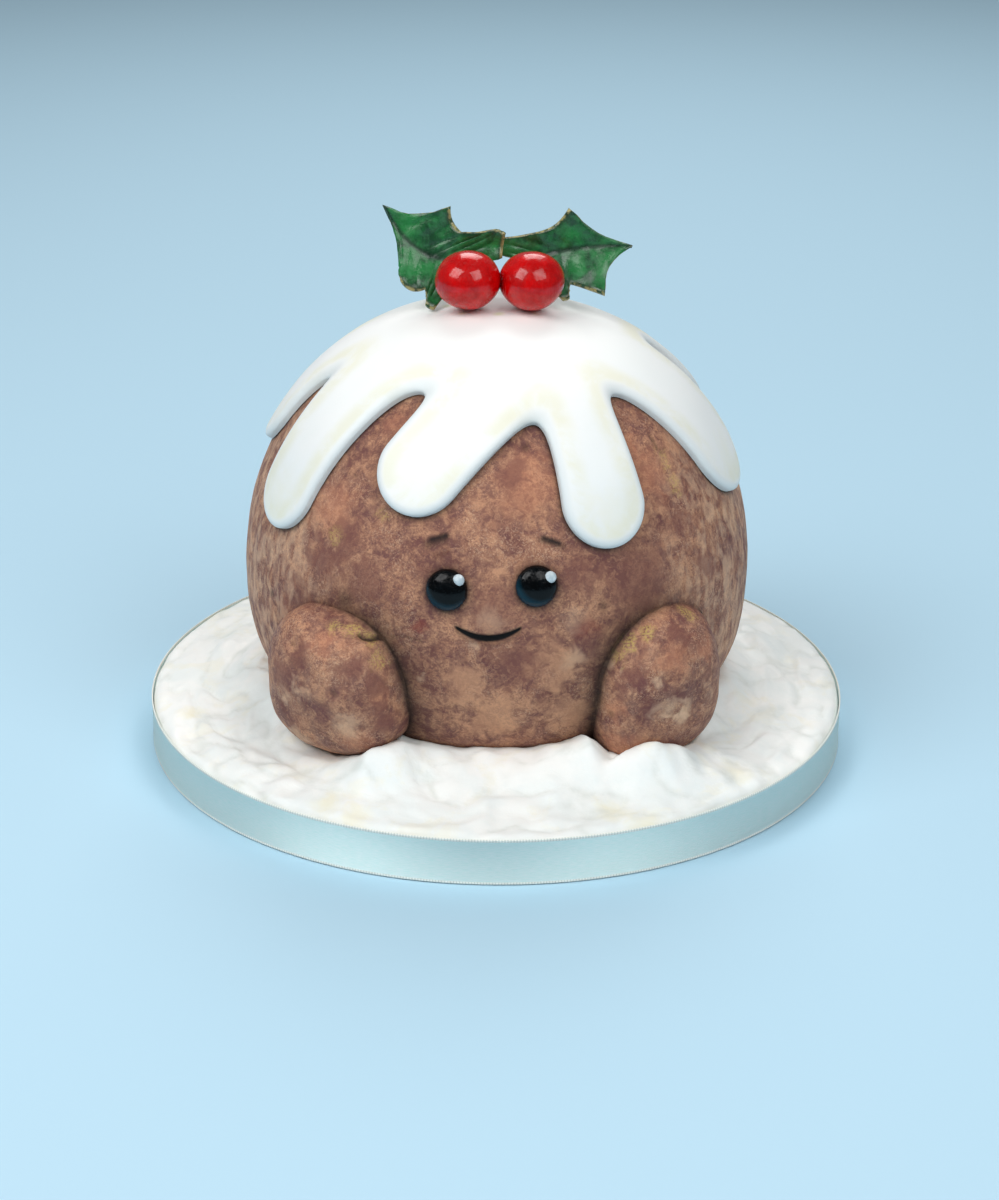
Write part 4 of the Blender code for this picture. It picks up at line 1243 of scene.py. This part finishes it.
EYE_PAINT = make_eye_paint()
EYE_WHITE_PAINT = make_eye_white_paint()
for name, (x, height) in EYES.items():
    here = front_frame(x, height)
    eye = lens(EYE_RADIUS, EYE_BULGE, here, 72, 48)
    press_on_pudding(eye, EYE_REST)
    finish_piece("glazed_" + name, eye, EYE_PAINT, name)
    right, up = EYE_DOT_PLACES[name]
    out = EYE_BULGE * math.sqrt(1 - (right ** 2 + up ** 2) / EYE_RADIUS ** 2)
    dot = lens(EYE_DOT_RADIUS, EYE_DOT_BULGE, here @ Matrix.Translation((right, -out, up)), 32, 20)
    side_name = name.replace("eye_", "")
    finish_piece("white_light_" + side_name, dot, EYE_WHITE_PAINT, "eye_dot_" + side_name)

# %% [markdown]
# ## Berries
# Two balls of red paste, slightly flat and not quite true, were pushed together until each had
# a small flat where they touch, and glazed until they shone.  Two metaballs would melt into one,
# so each berry is a sphere whose places beyond a plane between the two are set back onto it.

# %% Berry shapes and finish
BERRY_RADIUS = 10.5 * MM
BERRY_HALF_HEIGHT = 9.3 * MM
BERRY_CENTRES = {"berry_left": (-9.8, -5.0, 155.6), "berry_right": (10.3, -5.0, 155.6)}
BERRY_CONTACT = 0.25 * MM         # where the plane between them stands, to the right
BERRY_CONTACT_GAP = 0.08 * MM
BERRY_CONTACT_TURN = math.radians(18.0)
BERRY_WAVE = 0.30 * MM
BERRY_WAVE_LENGTH = 8 * MM
BERRY_INSET = 0.1 * MM            # keeps the waves inside the plain solid


def make_berry_paint():
    made, tree, sockets, places = start_material(
        "glazed_red", 0.20, Specular_IOR_Level=0.12, Coat_Roughness=0.07)
    colour = mix_colours(tree, dabs(tree, places, 5 * MM, 0.5, 0.2), (0.40, 0.0006, 0.0010, 1.0),
                         (0.62, 0.0012, 0.0018, 1.0))
    feed(tree, sockets["Base Color"], colour)
    brushed = fibres(tree, places, 0.8 * MM, 3 * MM, 0.5, 0.25)
    feed(tree, sockets["Roughness"], soft_step(tree, brushed, 0.0, 1.0, 0.18, 0.34))
    feed(tree, sockets["Coat Weight"], soft_step(tree, dabs(tree, places, 4 * MM), 0, 1, 0.4, 0.8))
    add_bump(tree, sockets, dabs(tree, places, 3.2 * MM, 0.5, 0.25), 0.22 * MM, 0.5)
    return made


BERRY_PAINT = make_berry_paint()
contact = Vector((BERRY_CONTACT, BERRY_CENTRES["berry_left"][1] * MM, 0.0))
contact_normal = Vector((math.cos(BERRY_CONTACT_TURN), math.sin(BERRY_CONTACT_TURN), 0.0))
for name, centre in BERRY_CENTRES.items():
    middle = Vector(centre) * MM
    outer_side = math.copysign(1.0, middle.x)
    bm = bmesh.new()
    bmesh.ops.create_uvsphere(bm, u_segments=96, v_segments=64, radius=1.0)
    for vertex in bm.verts:
        outward = vertex.co.normalized()
        place = middle + outward * Vector((BERRY_RADIUS, BERRY_RADIUS, BERRY_HALF_HEIGHT))
        wave = noise.noise(place / BERRY_WAVE_LENGTH) * BERRY_WAVE
        vertex.co = place + outward * (wave - BERRY_INSET)
        over = contact_normal.dot(vertex.co - contact) - outer_side * BERRY_CONTACT_GAP
        if over * outer_side < 0:
            vertex.co -= over * contact_normal
    finish_piece("glazed_" + name, bm, BERRY_PAINT, name)

# %% [markdown]
# ## Holly leaves
# Each leaf was cut from thin green paste, veined and pinched at its spines.  Its edge is a few
# spines joined by hollow arcs.  A flat outline could be filled and bent, but its faces would lie
# any which way.  So a row of edges along the midrib is extruded outwards row by row until it
# reaches that edge, and the faces run with the side veins.  The wings rise from the midrib, the
# paste puffs up between the veins, the spines curl, and Solidify gives it all its thickness.

# %% Leaf outline
LEAF_THICKNESS = 1.1 * MM
LEAF_LEAN = math.radians(23.0)    # backwards from upright
LEAF_VALLEY = 4.2 * MM            # how far the wings rise from the midrib
LEAF_CURL = 1.8 * MM
LEAF_CURL_REACH = 4.0 * MM
LEAF_CRUMPLE = 1.1 * MM
LEAF_CRUMPLE_LENGTH = 8 * MM
LEAF_STEM_HALF = 1.3 * MM
LEAF_ARC_SAMPLES = 8
LEAF_PUFF = 0.35 * MM
LEAF_VEINS = 5.0                  # steps of the edge from one side vein to the next
LEAF_ROWS = 10
LEAF_VEIN_SWEEP = 1.6             # above 1 the side veins start nearer to the stem
# stem's place in mm, angle of the midrib above level, its upward bow in mm, and the turning
# points of the edge in mm, from the stem's upper side round the tip to its lower side: along
# the midrib, above it, and how hollow the edge is from there towards the tip
LEAVES = {
    "leaf_left": ((-9.7, 8.1, 157.8), 146.7, -5.5,
                  ((-8.4, 6.6, 0.2), (-5.1, 13.6, -0.3), (-1.6, 12.9, 0.3), (7.0, 6.2, 1.1),
                   (14.2, 11.0, 2.3), (32.2, -0.4, 0.0), (14.6, -17.2, 2.1),
                   (9.8, -18.1, -0.5), (6.4, -15.4, -0.4), (3.6, -19.3, 0.3),
                   (0.4, -19.2, -0.4))),
    "leaf_right": ((7.8, 8.9, 157.9), 7.9, 2.0,
                   ((-8.6, 3.4, 0.1), (-8.2, 8.2, 0.2), (6.0, 8.2, 1.1), (16.4, 14.3, 1.9),
                    (34.7, 0.4, 0.0), (23.9, -14.8, 3.0), (13.7, -9.6, 0.2),
                    (12.8, -14.2, 0.3), (10.4, -14.6, -0.3))),
}


def leaf_edge(turns):
    """One side of a leaf's edge, from the stem: arcs from each turning point to the next."""
    edge = []
    for (start, hollow), (end, _) in zip(turns, turns[1:]):
        chord = end - start
        inward = Vector((chord.y, -chord.x)).normalized()
        if inward.y * start.y > 0:
            inward = -inward
        for i in range(LEAF_ARC_SAMPLES):
            share = i / LEAF_ARC_SAMPLES
            edge.append(start + chord * share + inward * hollow * 4 * share * (1 - share))
    return edge + [turns[-1][0]]


print("turning points of the leaves:", {name: len(LEAVES[name][3]) for name in LEAVES})


# %% Leaf shape
def make_leaf_shape(name):
    stem, rise, bow, turns_mm = LEAVES[name]
    turns = [(Vector((x, y)) * MM, hollow * MM) for x, y, hollow in turns_mm]
    tip = max(range(len(turns)), key=lambda i: turns[i][0].x)
    length = turns[tip][0].x
    half_span = max(abs(turn.y) for turn, _ in turns)
    up_the_leaf = Vector((0.0, math.sin(LEAF_LEAN), math.cos(LEAF_LEAN)))
    level = Vector((1.0, 0.0, 0.0))
    face_out = level.cross(up_the_leaf)
    cosine, sine = math.cos(math.radians(rise)), math.sin(math.radians(rise))
    along = level * cosine + up_the_leaf * sine
    across = up_the_leaf * abs(cosine) - level * math.copysign(sine, cosine)

    def midrib(x):
        share = min(max(x / length, 0.0), 1.0)
        return Vector((x, 4 * bow * MM * share * (1 - share)))

    def settle(vertex, flat_place, row):
        off_midrib = abs(flat_place.y - midrib(flat_place.x).y)
        curl = max(fading((flat_place - turn).length, LEAF_CURL_REACH) for turn, _ in turns)
        lift = LEAF_VALLEY * (off_midrib / half_span) ** 1.1 + LEAF_CURL * curl
        lift += LEAF_CRUMPLE * noise.noise(Vector((*flat_place, 0.0)) / LEAF_CRUMPLE_LENGTH)
        share = row / LEAF_ROWS
        vein = math.sin(math.pi * vertex[station_layer] / LEAF_VEINS)
        lift += LEAF_PUFF * abs(vein) * math.sin(math.pi * share)
        vertex.co = (Vector(stem) * MM + along * flat_place.x + across * flat_place.y
                     + face_out * lift)
        vertex[rim_layer] = share
        vertex[rib_layer] = off_midrib / MM

    bm = bmesh.new()
    station_layer = bm.verts.layers.int.new("station")
    rim_layer = bm.verts.layers.float.new("rim_share")
    rib_layer = bm.verts.layers.float.new("rib_distance")
    for side_sign in (1, -1):
        stem_corner = (Vector((0.0, side_sign * LEAF_STEM_HALF)), 0.0)
        half = turns[:tip + 1] if side_sign > 0 else turns[tip:][::-1]
        edge = leaf_edge([stem_corner] + half)
        veins = [midrib(length * (i / (len(edge) - 1)) ** LEAF_VEIN_SWEEP) for i in range(len(edge))]
        first = [bm.verts.new((0.0, 0.0, 0.0)) for _ in edge]
        for i, vertex in enumerate(first):
            vertex[station_layer] = i
            settle(vertex, veins[i], 0)
        row_edges = [bm.edges.new(pair) for pair in zip(first, first[1:])]
        for row in range(1, LEAF_ROWS + 1):
            grown = bmesh.ops.extrude_edge_only(bm, edges=row_edges)["geom"]
            row_edges = [part for part in grown if isinstance(part, bmesh.types.BMEdge)]
            for vertex in grown:
                if isinstance(vertex, bmesh.types.BMVert):
                    i = vertex[station_layer]
                    settle(vertex, veins[i].lerp(edge[i], row / LEAF_ROWS), row)
    bmesh.ops.remove_doubles(bm, verts=bm.verts, dist=0.05 * MM)
    bmesh.ops.dissolve_degenerate(bm, edges=bm.edges, dist=0.05 * MM)
    return bm


# %% [markdown]
# ## Holly's green
# The paste is a mottled green under a thin glaze, dark along the midrib and near the rim, and
# the rim itself was brushed with gold.  A painted picture could show all this, but rows of the
# mesh lie along the rim and the midrib, so two values on the vertices place the marks exactly.

# %% Leaf finish
def make_leaf_paint():
    made, tree, sockets, places = start_material(
        "holly_paint", 0.35, Specular_IOR_Level=0.35, Coat_Weight=0.35, Coat_Roughness=0.16)
    colour = mix_colours(tree, dabs(tree, places, 8 * MM, 0.5, 0.14), (0.008, 0.060, 0.020, 1.0),
                         (0.018, 0.185, 0.046, 1.0))
    pale_dabs = dabs(tree, places, 3 * MM, 0.57, 0.08)
    colour = lay_over(tree, colour, pale_dabs, 0.3, (0.06, 0.28, 0.11, 1.0))
    rib = vertex_value(tree, "rib_distance")
    colour = mix_colours(tree, soft_step(tree, rib, 0.1, 1.5, 0.8, 0.0), colour,
                         (0.005, 0.022, 0.012, 1.0))
    rim_share = vertex_value(tree, "rim_share")
    colour = mix_colours(tree, soft_step(tree, rim_share, 0.84, 0.97, 0.0, 0.7), colour,
                         (0.012, 0.024, 0.014, 1.0))
    dusted = maths(tree, "MULTIPLY", soft_step(tree, rim_share, 0.92, 0.99),
                   dabs(tree, places, 1.6 * MM, 0.48, 0.08))
    colour = mix_colours(tree, dusted, colour, (0.40, 0.35, 0.14, 1.0))
    feed(tree, sockets["Base Color"], colour)
    feed(tree, sockets["Roughness"], soft_step(tree, dabs(tree, places, 3 * MM), 0, 1, 0.24, 0.40))
    add_bump(tree, sockets, dabs(tree, places, 2.4 * MM, 0.5, 0.3, 0.8), 0.25 * MM, 0.5)
    return made


LEAF_PAINT = make_leaf_paint()
for name in LEAVES:
    leaf = finish_piece("holly_" + name, make_leaf_shape(name), LEAF_PAINT, name)
    solidify = leaf.modifiers.new("thickness", "SOLIDIFY")
    solidify.thickness = LEAF_THICKNESS
    solidify.offset = 0.0

# %% [markdown]
# ## Ruffled white paste
# The board is covered with soft white paste, pushed into low folds and lumps that run round the
# cake, with crests where it was squeezed up against the feet.  It could be sculpted by brush,
# but a rule can be changed and run again: a spun disc has fine rows where it shows, each vertex
# takes its height from folded noise, the crests draw it up along lines over the board, and what
# would poke into the ball or the feet is pressed down under them.

# %% Heights of the white paste
DRUM_RADIUS = 114.3 * MM
DRUM_THICKNESS = 12.0 * MM
SNOW_RIM = 15.6 * MM
SNOW_LEVEL = 17.4 * MM
SNOW_EDGE_ROUND = 2.6 * MM
SNOW_FOLD = 1.5 * MM
SNOW_LUMP = 2.2 * MM
SNOW_LUMP_TOP = 0.5               # lumps are cut off flat above this share of the noise
SNOW_RIDGE = 0.7 * MM
SNOW_WRINKLE = 0.40 * MM
SNOW_FRONT_DABS = 1.1 * MM
# width across and length round the board of the folds, lumps, ridges and wrinkles
FOLD_SIZE = (9.0 * MM, 30.0 * MM)
LUMP_SIZE = (8.0 * MM, 20.0 * MM)
RIDGE_SIZE = (7.0 * MM, 22.0 * MM)
WRINKLE_SIZE = (3.2 * MM, 10.0 * MM)
# ridges that were pushed up: x, y, half length, half width, turn in degrees, height, in mm
SNOW_DRIFTS = (
    (0.0, -98.0, 34.0, 4.5, 0.0, 1.6),
    (-14.0, -92.0, 12.0, 4.0, 14.0, 1.6),
    (22.0, -92.0, 12.0, 4.0, -10.0, 1.6),
    (70.0, -78.0, 9.0, 5.0, 40.0, 2.4),
    (-68.0, -76.0, 18.0, 6.0, -45.0, 1.2),
    (88.0, -40.0, 18.0, 5.0, 62.0, 1.8),
    (92.0, 24.0, 20.0, 6.0, 100.0, 1.8),
    (-92.0, 22.0, 20.0, 6.0, -100.0, 1.8),
    (38.0, 84.0, 24.0, 6.0, 156.0, 2.0),
    (-44.0, 80.0, 22.0, 6.0, 30.0, 1.6),
)
# crests of the paste squeezed up against the feet: places and heights over the table, in mm
SNOW_CRESTS = (
    ((-52.0, -74.5, 20.5), (-46.6, -77.5, 23.5), (-42.0, -80.5, 26.5), (-38.0, -82.5, 29.5),
     (-33.0, -82.0, 30.5), (-28.5, -79.0, 30.0), (-23.0, -78.0, 27.5), (-12.0, -78.5, 25.5)),
    ((12.0, -78.5, 26.0), (20.0, -78.0, 28.5), (24.5, -77.5, 30.5), (28.0, -77.0, 31.6),
     (31.0, -76.0, 29.0), (35.0, -75.0, 24.5)),
    ((37.5, -75.0, 22.5), (41.0, -79.0, 28.5), (45.0, -80.0, 30.2), (50.0, -79.0, 30.4),
     (54.5, -76.0, 29.0), (58.5, -70.5, 25.0), (63.0, -66.0, 23.0)),
)
SNOW_CREST_WIDTH = 10.0 * MM
SNOW_COLLAR = 7.0 * MM            # how far the paste rises where the pudding stands in it
SNOW_COLLAR_RADIUS = 75.0 * MM
SNOW_COLLAR_WIDTH = 12.0 * MM


def fold_noise(x, y, size, seed):
    """Noise whose folds run round the board; size is their width and length."""
    across, along = size
    radius = math.hypot(x, y)
    azimuth = math.atan2(y, x)
    twist = DRUM_RADIUS / along
    return noise.noise((radius / across + seed, twist * math.cos(azimuth),
                        twist * math.sin(azimuth)))


def sharp_ridge(x, y, size, seed):
    """1 on thin ridges that run round the board, 0 between them."""
    return max(1 - abs(fold_noise(x, y, size, seed)) * 2.4, 0.0)


def sway(x, y):
    """How far lumps and ridges stray from their circles at a place."""
    return 2.5 * MM * noise.noise((x / (22 * MM), y / (22 * MM), 4.0))


def soft_lump(x, y):
    """Soft lumps with creases between them: 0 in a crease."""
    stray = sway(x, y)
    return abs(fold_noise(x - stray, y + stray, LUMP_SIZE, 2.0))


print("noise of the lumps before the face:", round(soft_lump(0.0, -0.1), 2))


# %% Drifts and crests of the white paste
def drift_height(x, y, drift):
    middle_x, middle_y, half_length, half_width, angle, height = drift
    angle = math.radians(angle)
    from_x, from_y = x / MM - middle_x, y / MM - middle_y
    along = (from_x * math.cos(angle) + from_y * math.sin(angle)) / half_length
    across = (from_y * math.cos(angle) - from_x * math.sin(angle)) / half_width
    return height * MM * math.exp(-along ** 2 - across ** 2)


def crest_pull(x, y, crest):
    """How much a crest draws a place towards its height, 0 to 1, and that height."""
    pulls = []
    for (x0, y0, z0), (x1, y1, z1) in zip(crest, crest[1:]):
        run_x, run_y = x1 - x0, y1 - y0
        share = ((x / MM - x0) * run_x + (y / MM - y0) * run_y) / (run_x ** 2 + run_y ** 2)
        share = min(max(share, 0.0), 1.0)
        away = math.hypot(x / MM - x0 - run_x * share, y / MM - y0 - run_y * share) * MM
        pulls.append((fading(away, SNOW_CREST_WIDTH), (z0 + (z1 - z0) * share) * MM))
    return max(pulls)


highest = max(place[2] for crest in SNOW_CRESTS for place in crest)
print("the highest crest is", highest, "mm over the table")


# %% Height of the white paste
def snow_height(x, y):
    """The paste's height over the table, before the ball and the feet press on it."""
    radius = math.hypot(x, y)
    outwards = min(max((radius - PUDDING_RADIUS) / (DRUM_RADIUS - PUDDING_RADIUS), 0.0), 1.0)
    height = SNOW_LEVEL + (SNOW_RIM - SNOW_LEVEL) * outwards ** 2
    calm = 1.0 - 0.55 * outwards ** 4
    stray = sway(x, y)
    patch = 0.5 + 0.5 * noise.noise((x / (18 * MM), y / (18 * MM), 7.0))
    collar = fading(max(radius - SNOW_COLLAR_RADIUS, 0.0), SNOW_COLLAR_WIDTH)
    height += SNOW_FOLD * calm * fold_noise(x, y, FOLD_SIZE, 0.0)
    height += SNOW_RIDGE * calm * sharp_ridge(x + stray, y + stray, RIDGE_SIZE, 5.0) ** 3
    height += SNOW_LUMP * calm * (min(soft_lump(x, y), SNOW_LUMP_TOP) - 0.2)
    height += SNOW_WRINKLE * calm * patch * sharp_ridge(x, y, WRINKLE_SIZE, 9.0) ** 2
    height += SNOW_COLLAR * (0.8 + 0.4 * patch) * collar
    height += sum(drift_height(x, y, drift) for drift in SNOW_DRIFTS)
    if y < -0.5 * PUDDING_RADIUS:
        for crest in SNOW_CRESTS:
            pull, crest_height = crest_pull(x, y, crest)
            height += pull * max(crest_height - height, 0.0)
        height += SNOW_FRONT_DABS * noise.noise((x / (7 * MM), y / (7 * MM), 12.0))
    to_edge = DRUM_RADIUS - radius
    if to_edge < SNOW_EDGE_ROUND:
        height -= SNOW_EDGE_ROUND * 0.6 * (1.0 - to_edge / SNOW_EDGE_ROUND) ** 2
    return height


print("white paste is", round(snow_height(0.0, -0.1) / MM, 1), "mm high before the face")

# %% White paste mesh
SNOW_GAP = 0.25 * MM
SNOW_STEPS = 540
SNOW_INNER = 46.0 * MM            # nothing shows nearer to the middle than this
SNOW_ROW = 0.95 * MM
SNOW_HOLLOW = 0.10                # below this share of a lump a place counts as a crease

rows = int((DRUM_RADIUS - SNOW_INNER) / SNOW_ROW)
rings = [0.0, 0.5 * SNOW_INNER] + [SNOW_INNER + (DRUM_RADIUS - SNOW_INNER) * i / rows
                                   for i in range(rows + 1)]
underside_height = DRUM_THICKNESS + SNOW_GAP
snow_line = [(radius, SNOW_RIM) for radius in rings]
snow_line += [(DRUM_RADIUS, underside_height), (0.0, underside_height)]
snow = turned(snow_line, SNOW_STEPS)
ball_tree = BVHTree.FromObject(bpy.data.objects["pudding_ball"],
                               bpy.context.evaluated_depsgraph_get())
above = [ball_tree] + list(foot_trees.values())
upwards = Vector((0, 0, 1))
hollow_layer = snow.verts.layers.float.new("hollow")
for vertex in snow.verts:
    if vertex.co.z > underside_height + 0.1 * MM:
        height = snow_height(vertex.co.x, vertex.co.y)
        vertex[hollow_layer] = fading(soft_lump(vertex.co.x, vertex.co.y), SNOW_HOLLOW)
        below = Vector((vertex.co.x, vertex.co.y, 0.0))
        for tree in above:
            hit = tree.ray_cast(below, upwards)[0]
            if hit is not None:
                height = min(height, hit.z - SNOW_GAP)
        vertex.co.z = height
print("white paste reaches", round(max(vertex.co.z for vertex in snow.verts) / MM, 1), "mm up")

# %% [markdown]
# ## White paste finish
# The paste is white, and cream dust was brushed on in places.  Its creases are greyed a
# little with painted shade, in patches: creases this shallow hardly show in such soft light, so
# the value that each vertex noted while its height was made places that shade.

# %% White paste material
def snow_spot(x, y, radius, softness):
    """A round mark on the white paste, all in mm."""
    place = Vector((x * MM, y * MM, SNOW_LEVEL))
    return place, place, radius * MM, softness * MM


CREAM_MARKS = [snow_spot(*mark) for mark in (
    (-99, -32, 3, 3), (31, -77, 2.5, 2.5), (41, -72, 2.5, 3), (-51, -96, 4, 4),
    (-42, -104, 4, 3), (46, -105, 5, 4), (36, -99, 4, 4), (74, -74, 4, 4), (60, 82, 4, 5),
    (-70, 70, 4, 5))]


def make_snow_paint():
    made, tree, sockets, places = start_material("white_paste_paint", 0.5)
    colour = mix_colours(tree, dabs(tree, places, 22 * MM, 0.5, 0.12), (0.88, 0.92, 0.90, 1.0),
                         (0.94, 0.95, 0.92, 1.0))
    cream_dabs = dabs(tree, places, 13 * MM, 0.60, 0.08)
    colour = lay_over(tree, colour, cream_dabs, 0.35, (0.90, 0.86, 0.68, 1.0))
    colour = spray(tree, colour, places, CREAM_MARKS, (0.90, 0.84, 0.58, 1.0), 0.5, 3 * MM)
    # painted shade in the creases
    crease_shade = maths(tree, "MULTIPLY", vertex_value(tree, "hollow"),
                    dabs(tree, places, 9 * MM, 0.48, 0.15))
    colour = lay_over(tree, colour, crease_shade, 0.5, (0.66, 0.69, 0.64, 1.0))
    feed(tree, sockets["Base Color"], colour)
    fine = dabs(tree, places, 2.2 * MM, 0.5, 0.3, 0.6)
    feed(tree, sockets["Roughness"], soft_step(tree, fine, 0.0, 1.0, 0.45, 0.60))
    add_bump(tree, sockets, fine, 0.15 * MM, 0.35)
    return made


SNOW_PAINT = make_snow_paint()
finish_piece("ruffled_paste", snow, SNOW_PAINT, "snow_icing", 60.0)

# %% [markdown]
# ## Satin ribbon
# A 15 mm satin ribbon runs once round the board and laps over itself at the back.  A plain
# cylinder would do from afar, but the ribbon's edges show: its cross section is a thin band with
# a slightly thicker woven edge above and below.  That section is extruded step by step round
# the board, and on the last steps it climbs onto its own start.

# %% Ribbon shape
RIBBON_WIDTH = 15.0 * MM
RIBBON_THICKNESS = 0.30 * MM
RIBBON_LIFT = 0.3 * MM
RIBBON_GAP = 0.3 * MM
SELVEDGE_WIDTH = 0.8 * MM
SELVEDGE_EXTRA = 0.12 * MM
RIBBON_LAP = 15.0 * MM
RIBBON_LAP_GAP = 0.05 * MM
RIBBON_STEPS = 480

inner_radius = DRUM_RADIUS + RIBBON_GAP
lap_angle = RIBBON_LAP / inner_radius
full = RIBBON_THICKNESS
thick = RIBBON_THICKNESS + SELVEDGE_EXTRA
section = [(0.0, 0.0), (0.5 * thick, -0.08 * MM), (thick, 0.15 * MM), (thick, SELVEDGE_WIDTH),
           (full, SELVEDGE_WIDTH + 0.2 * MM), (full, RIBBON_WIDTH / 2),
           (full, RIBBON_WIDTH - SELVEDGE_WIDTH - 0.2 * MM), (thick, RIBBON_WIDTH - SELVEDGE_WIDTH),
           (thick, RIBBON_WIDTH - 0.15 * MM), (0.5 * thick, RIBBON_WIDTH + 0.08 * MM),
           (0.0, RIBBON_WIDTH), (0.0, RIBBON_WIDTH / 2)]

band = bmesh.new()
corner_layer = band.verts.layers.int.new("corner")
along_layer = band.verts.layers.float.new("along")
across_layer = band.verts.layers.float.new("across")


def lay_section(verts, step):
    """Places one cross section at its step round the board."""
    run = (2 * math.pi + lap_angle) * step / RIBBON_STEPS
    climb = max(0.0, (run - 2 * math.pi + 0.6 * lap_angle) / lap_angle)
    climb = min(climb, 1.0) ** 2 * (3 - 2 * min(climb, 1.0))
    azimuth = math.pi - lap_angle / 2 + run
    for vertex in verts:
        out, up = section[vertex[corner_layer]]
        radius = inner_radius + out + climb * (thick + RIBBON_LAP_GAP)
        vertex.co = (radius * math.sin(azimuth), -radius * math.cos(azimuth), RIBBON_LIFT + up)
        vertex[along_layer] = run * inner_radius / MM
        vertex[across_layer] = up / MM


first = [band.verts.new((0.0, 0.0, 0.0)) for _ in section]
for corner, vertex in enumerate(first):
    vertex[corner_layer] = corner
lay_section(first, 0)
loop = [band.edges.new((first[i - 1], first[i])) for i in range(len(first))]
band.faces.new(first)
for step in range(1, RIBBON_STEPS + 1):
    grown = bmesh.ops.extrude_edge_only(band, edges=loop)["geom"]
    loop = [part for part in grown if isinstance(part, bmesh.types.BMEdge)]
    lay_section([part for part in grown if isinstance(part, bmesh.types.BMVert)], step)
bmesh.ops.holes_fill(band, edges=loop, sides=0)
print("ribbon:", len(band.faces), "faces")

# %% [markdown]
# ## The shine of satin
# The long threads of satin lie side by side along the ribbon.  They scatter light across
# themselves and much less along themselves, so each softbox shows as a bright stretch of the
# band.  A plain roughness would give one even sheen all round; the shader's anisotropy, with
# some metal in it, gives those stretches.  The woven edges are rows of small dull loops.

# %% Ribbon material
PICOT_PITCH = 0.9                 # mm from one loop of the woven edge to the next
SELVEDGE_SOFTNESS = 0.15
SATIN_ROUGHNESS = 0.64


def make_ribbon_paint():
    made, tree, sockets, places = start_material(
        "satin_ribbon_paint", SATIN_ROUGHNESS, Specular_IOR_Level=0.8, Anisotropic=0.95,
        Anisotropic_Rotation=0.25)
    along, across = vertex_value(tree, "along"), vertex_value(tree, "across")
    threads = add_node(tree, "ShaderNodeCombineXYZ")
    feed(tree, threads.inputs["X"], maths(tree, "MULTIPLY", along, 0.4))
    feed(tree, threads.inputs["Y"], maths(tree, "MULTIPLY", across, 5.0))
    warp = noise_value(tree, threads.outputs[0], Scale=1.0, Detail=3.0)
    thread = soft_step(tree, warp, 0.3, 0.7)
    colour = mix_colours(tree, thread, (0.74, 0.95, 0.93, 1.0), (0.84, 0.98, 0.97, 1.0))
    off_middle = maths(tree, "ABSOLUTE", maths(tree, "SUBTRACT", across, RIBBON_WIDTH / MM / 2))
    woven_from = (RIBBON_WIDTH / 2 - SELVEDGE_WIDTH) / MM
    selvedge = soft_step(tree, off_middle, woven_from - SELVEDGE_SOFTNESS,
                         woven_from + SELVEDGE_SOFTNESS)
    loops = maths(tree, "SINE", maths(tree, "MULTIPLY", along, 2 * math.pi / PICOT_PITCH))
    loops = maths(tree, "MULTIPLY_ADD", loops, 0.5, 0.5)
    picot = mix_colours(tree, loops, (0.72, 0.76, 0.70, 1.0), (0.95, 0.95, 0.88, 1.0))
    colour = mix_colours(tree, selvedge, colour, picot)
    feed(tree, sockets["Base Color"], colour)
    feed(tree, sockets["Roughness"], soft_step(tree, selvedge, 0.0, 1.0, SATIN_ROUGHNESS, 0.8))
    feed(tree, sockets["Metallic"], soft_step(tree, selvedge, 0.0, 1.0, 0.48, 0.0))
    weave = maths(tree, "MULTIPLY_ADD", maths(tree, "MULTIPLY", loops, selvedge), 1.5, thread)
    add_bump(tree, sockets, weave, 0.08 * MM, 0.5)
    return made


RIBBON_PAINT = make_ribbon_paint()
ribbon = finish_piece("satin_band", band, RIBBON_PAINT, "ribbon")

# %% [markdown]
# ## Board
# The drum is thick card wrapped in silver paper foil.  Only its underside and the narrow line
# under the ribbon show, and its plain solid already has the right shape, so no finer mesh is
# made for it: it just gets a better finish, bright and a little crinkled.

# %% Foil of the board
def make_foil_paint():
    made, tree, sockets, places = start_material("drum_foil_paint", 0.3, Metallic=0.85)
    crinkle = dabs(tree, places, 4 * MM, 0.5, 0.2, 1.0)
    colour = mix_colours(tree, crinkle, (0.62, 0.64, 0.66, 1.0), (0.78, 0.80, 0.82, 1.0))
    feed(tree, sockets["Base Color"], colour)
    feed(tree, sockets["Roughness"], soft_step(tree, crinkle, 0.0, 1.0, 0.26, 0.42))
    add_bump(tree, sockets, dabs(tree, places, 1.5 * MM, 0.5, 0.3), 0.1 * MM, 0.4)
    return made


FOIL_PAINT = make_foil_paint()
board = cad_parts["cake_board"]
board.data.materials.clear()
board.data.materials.append(FOIL_PAINT)
print("board in foil")
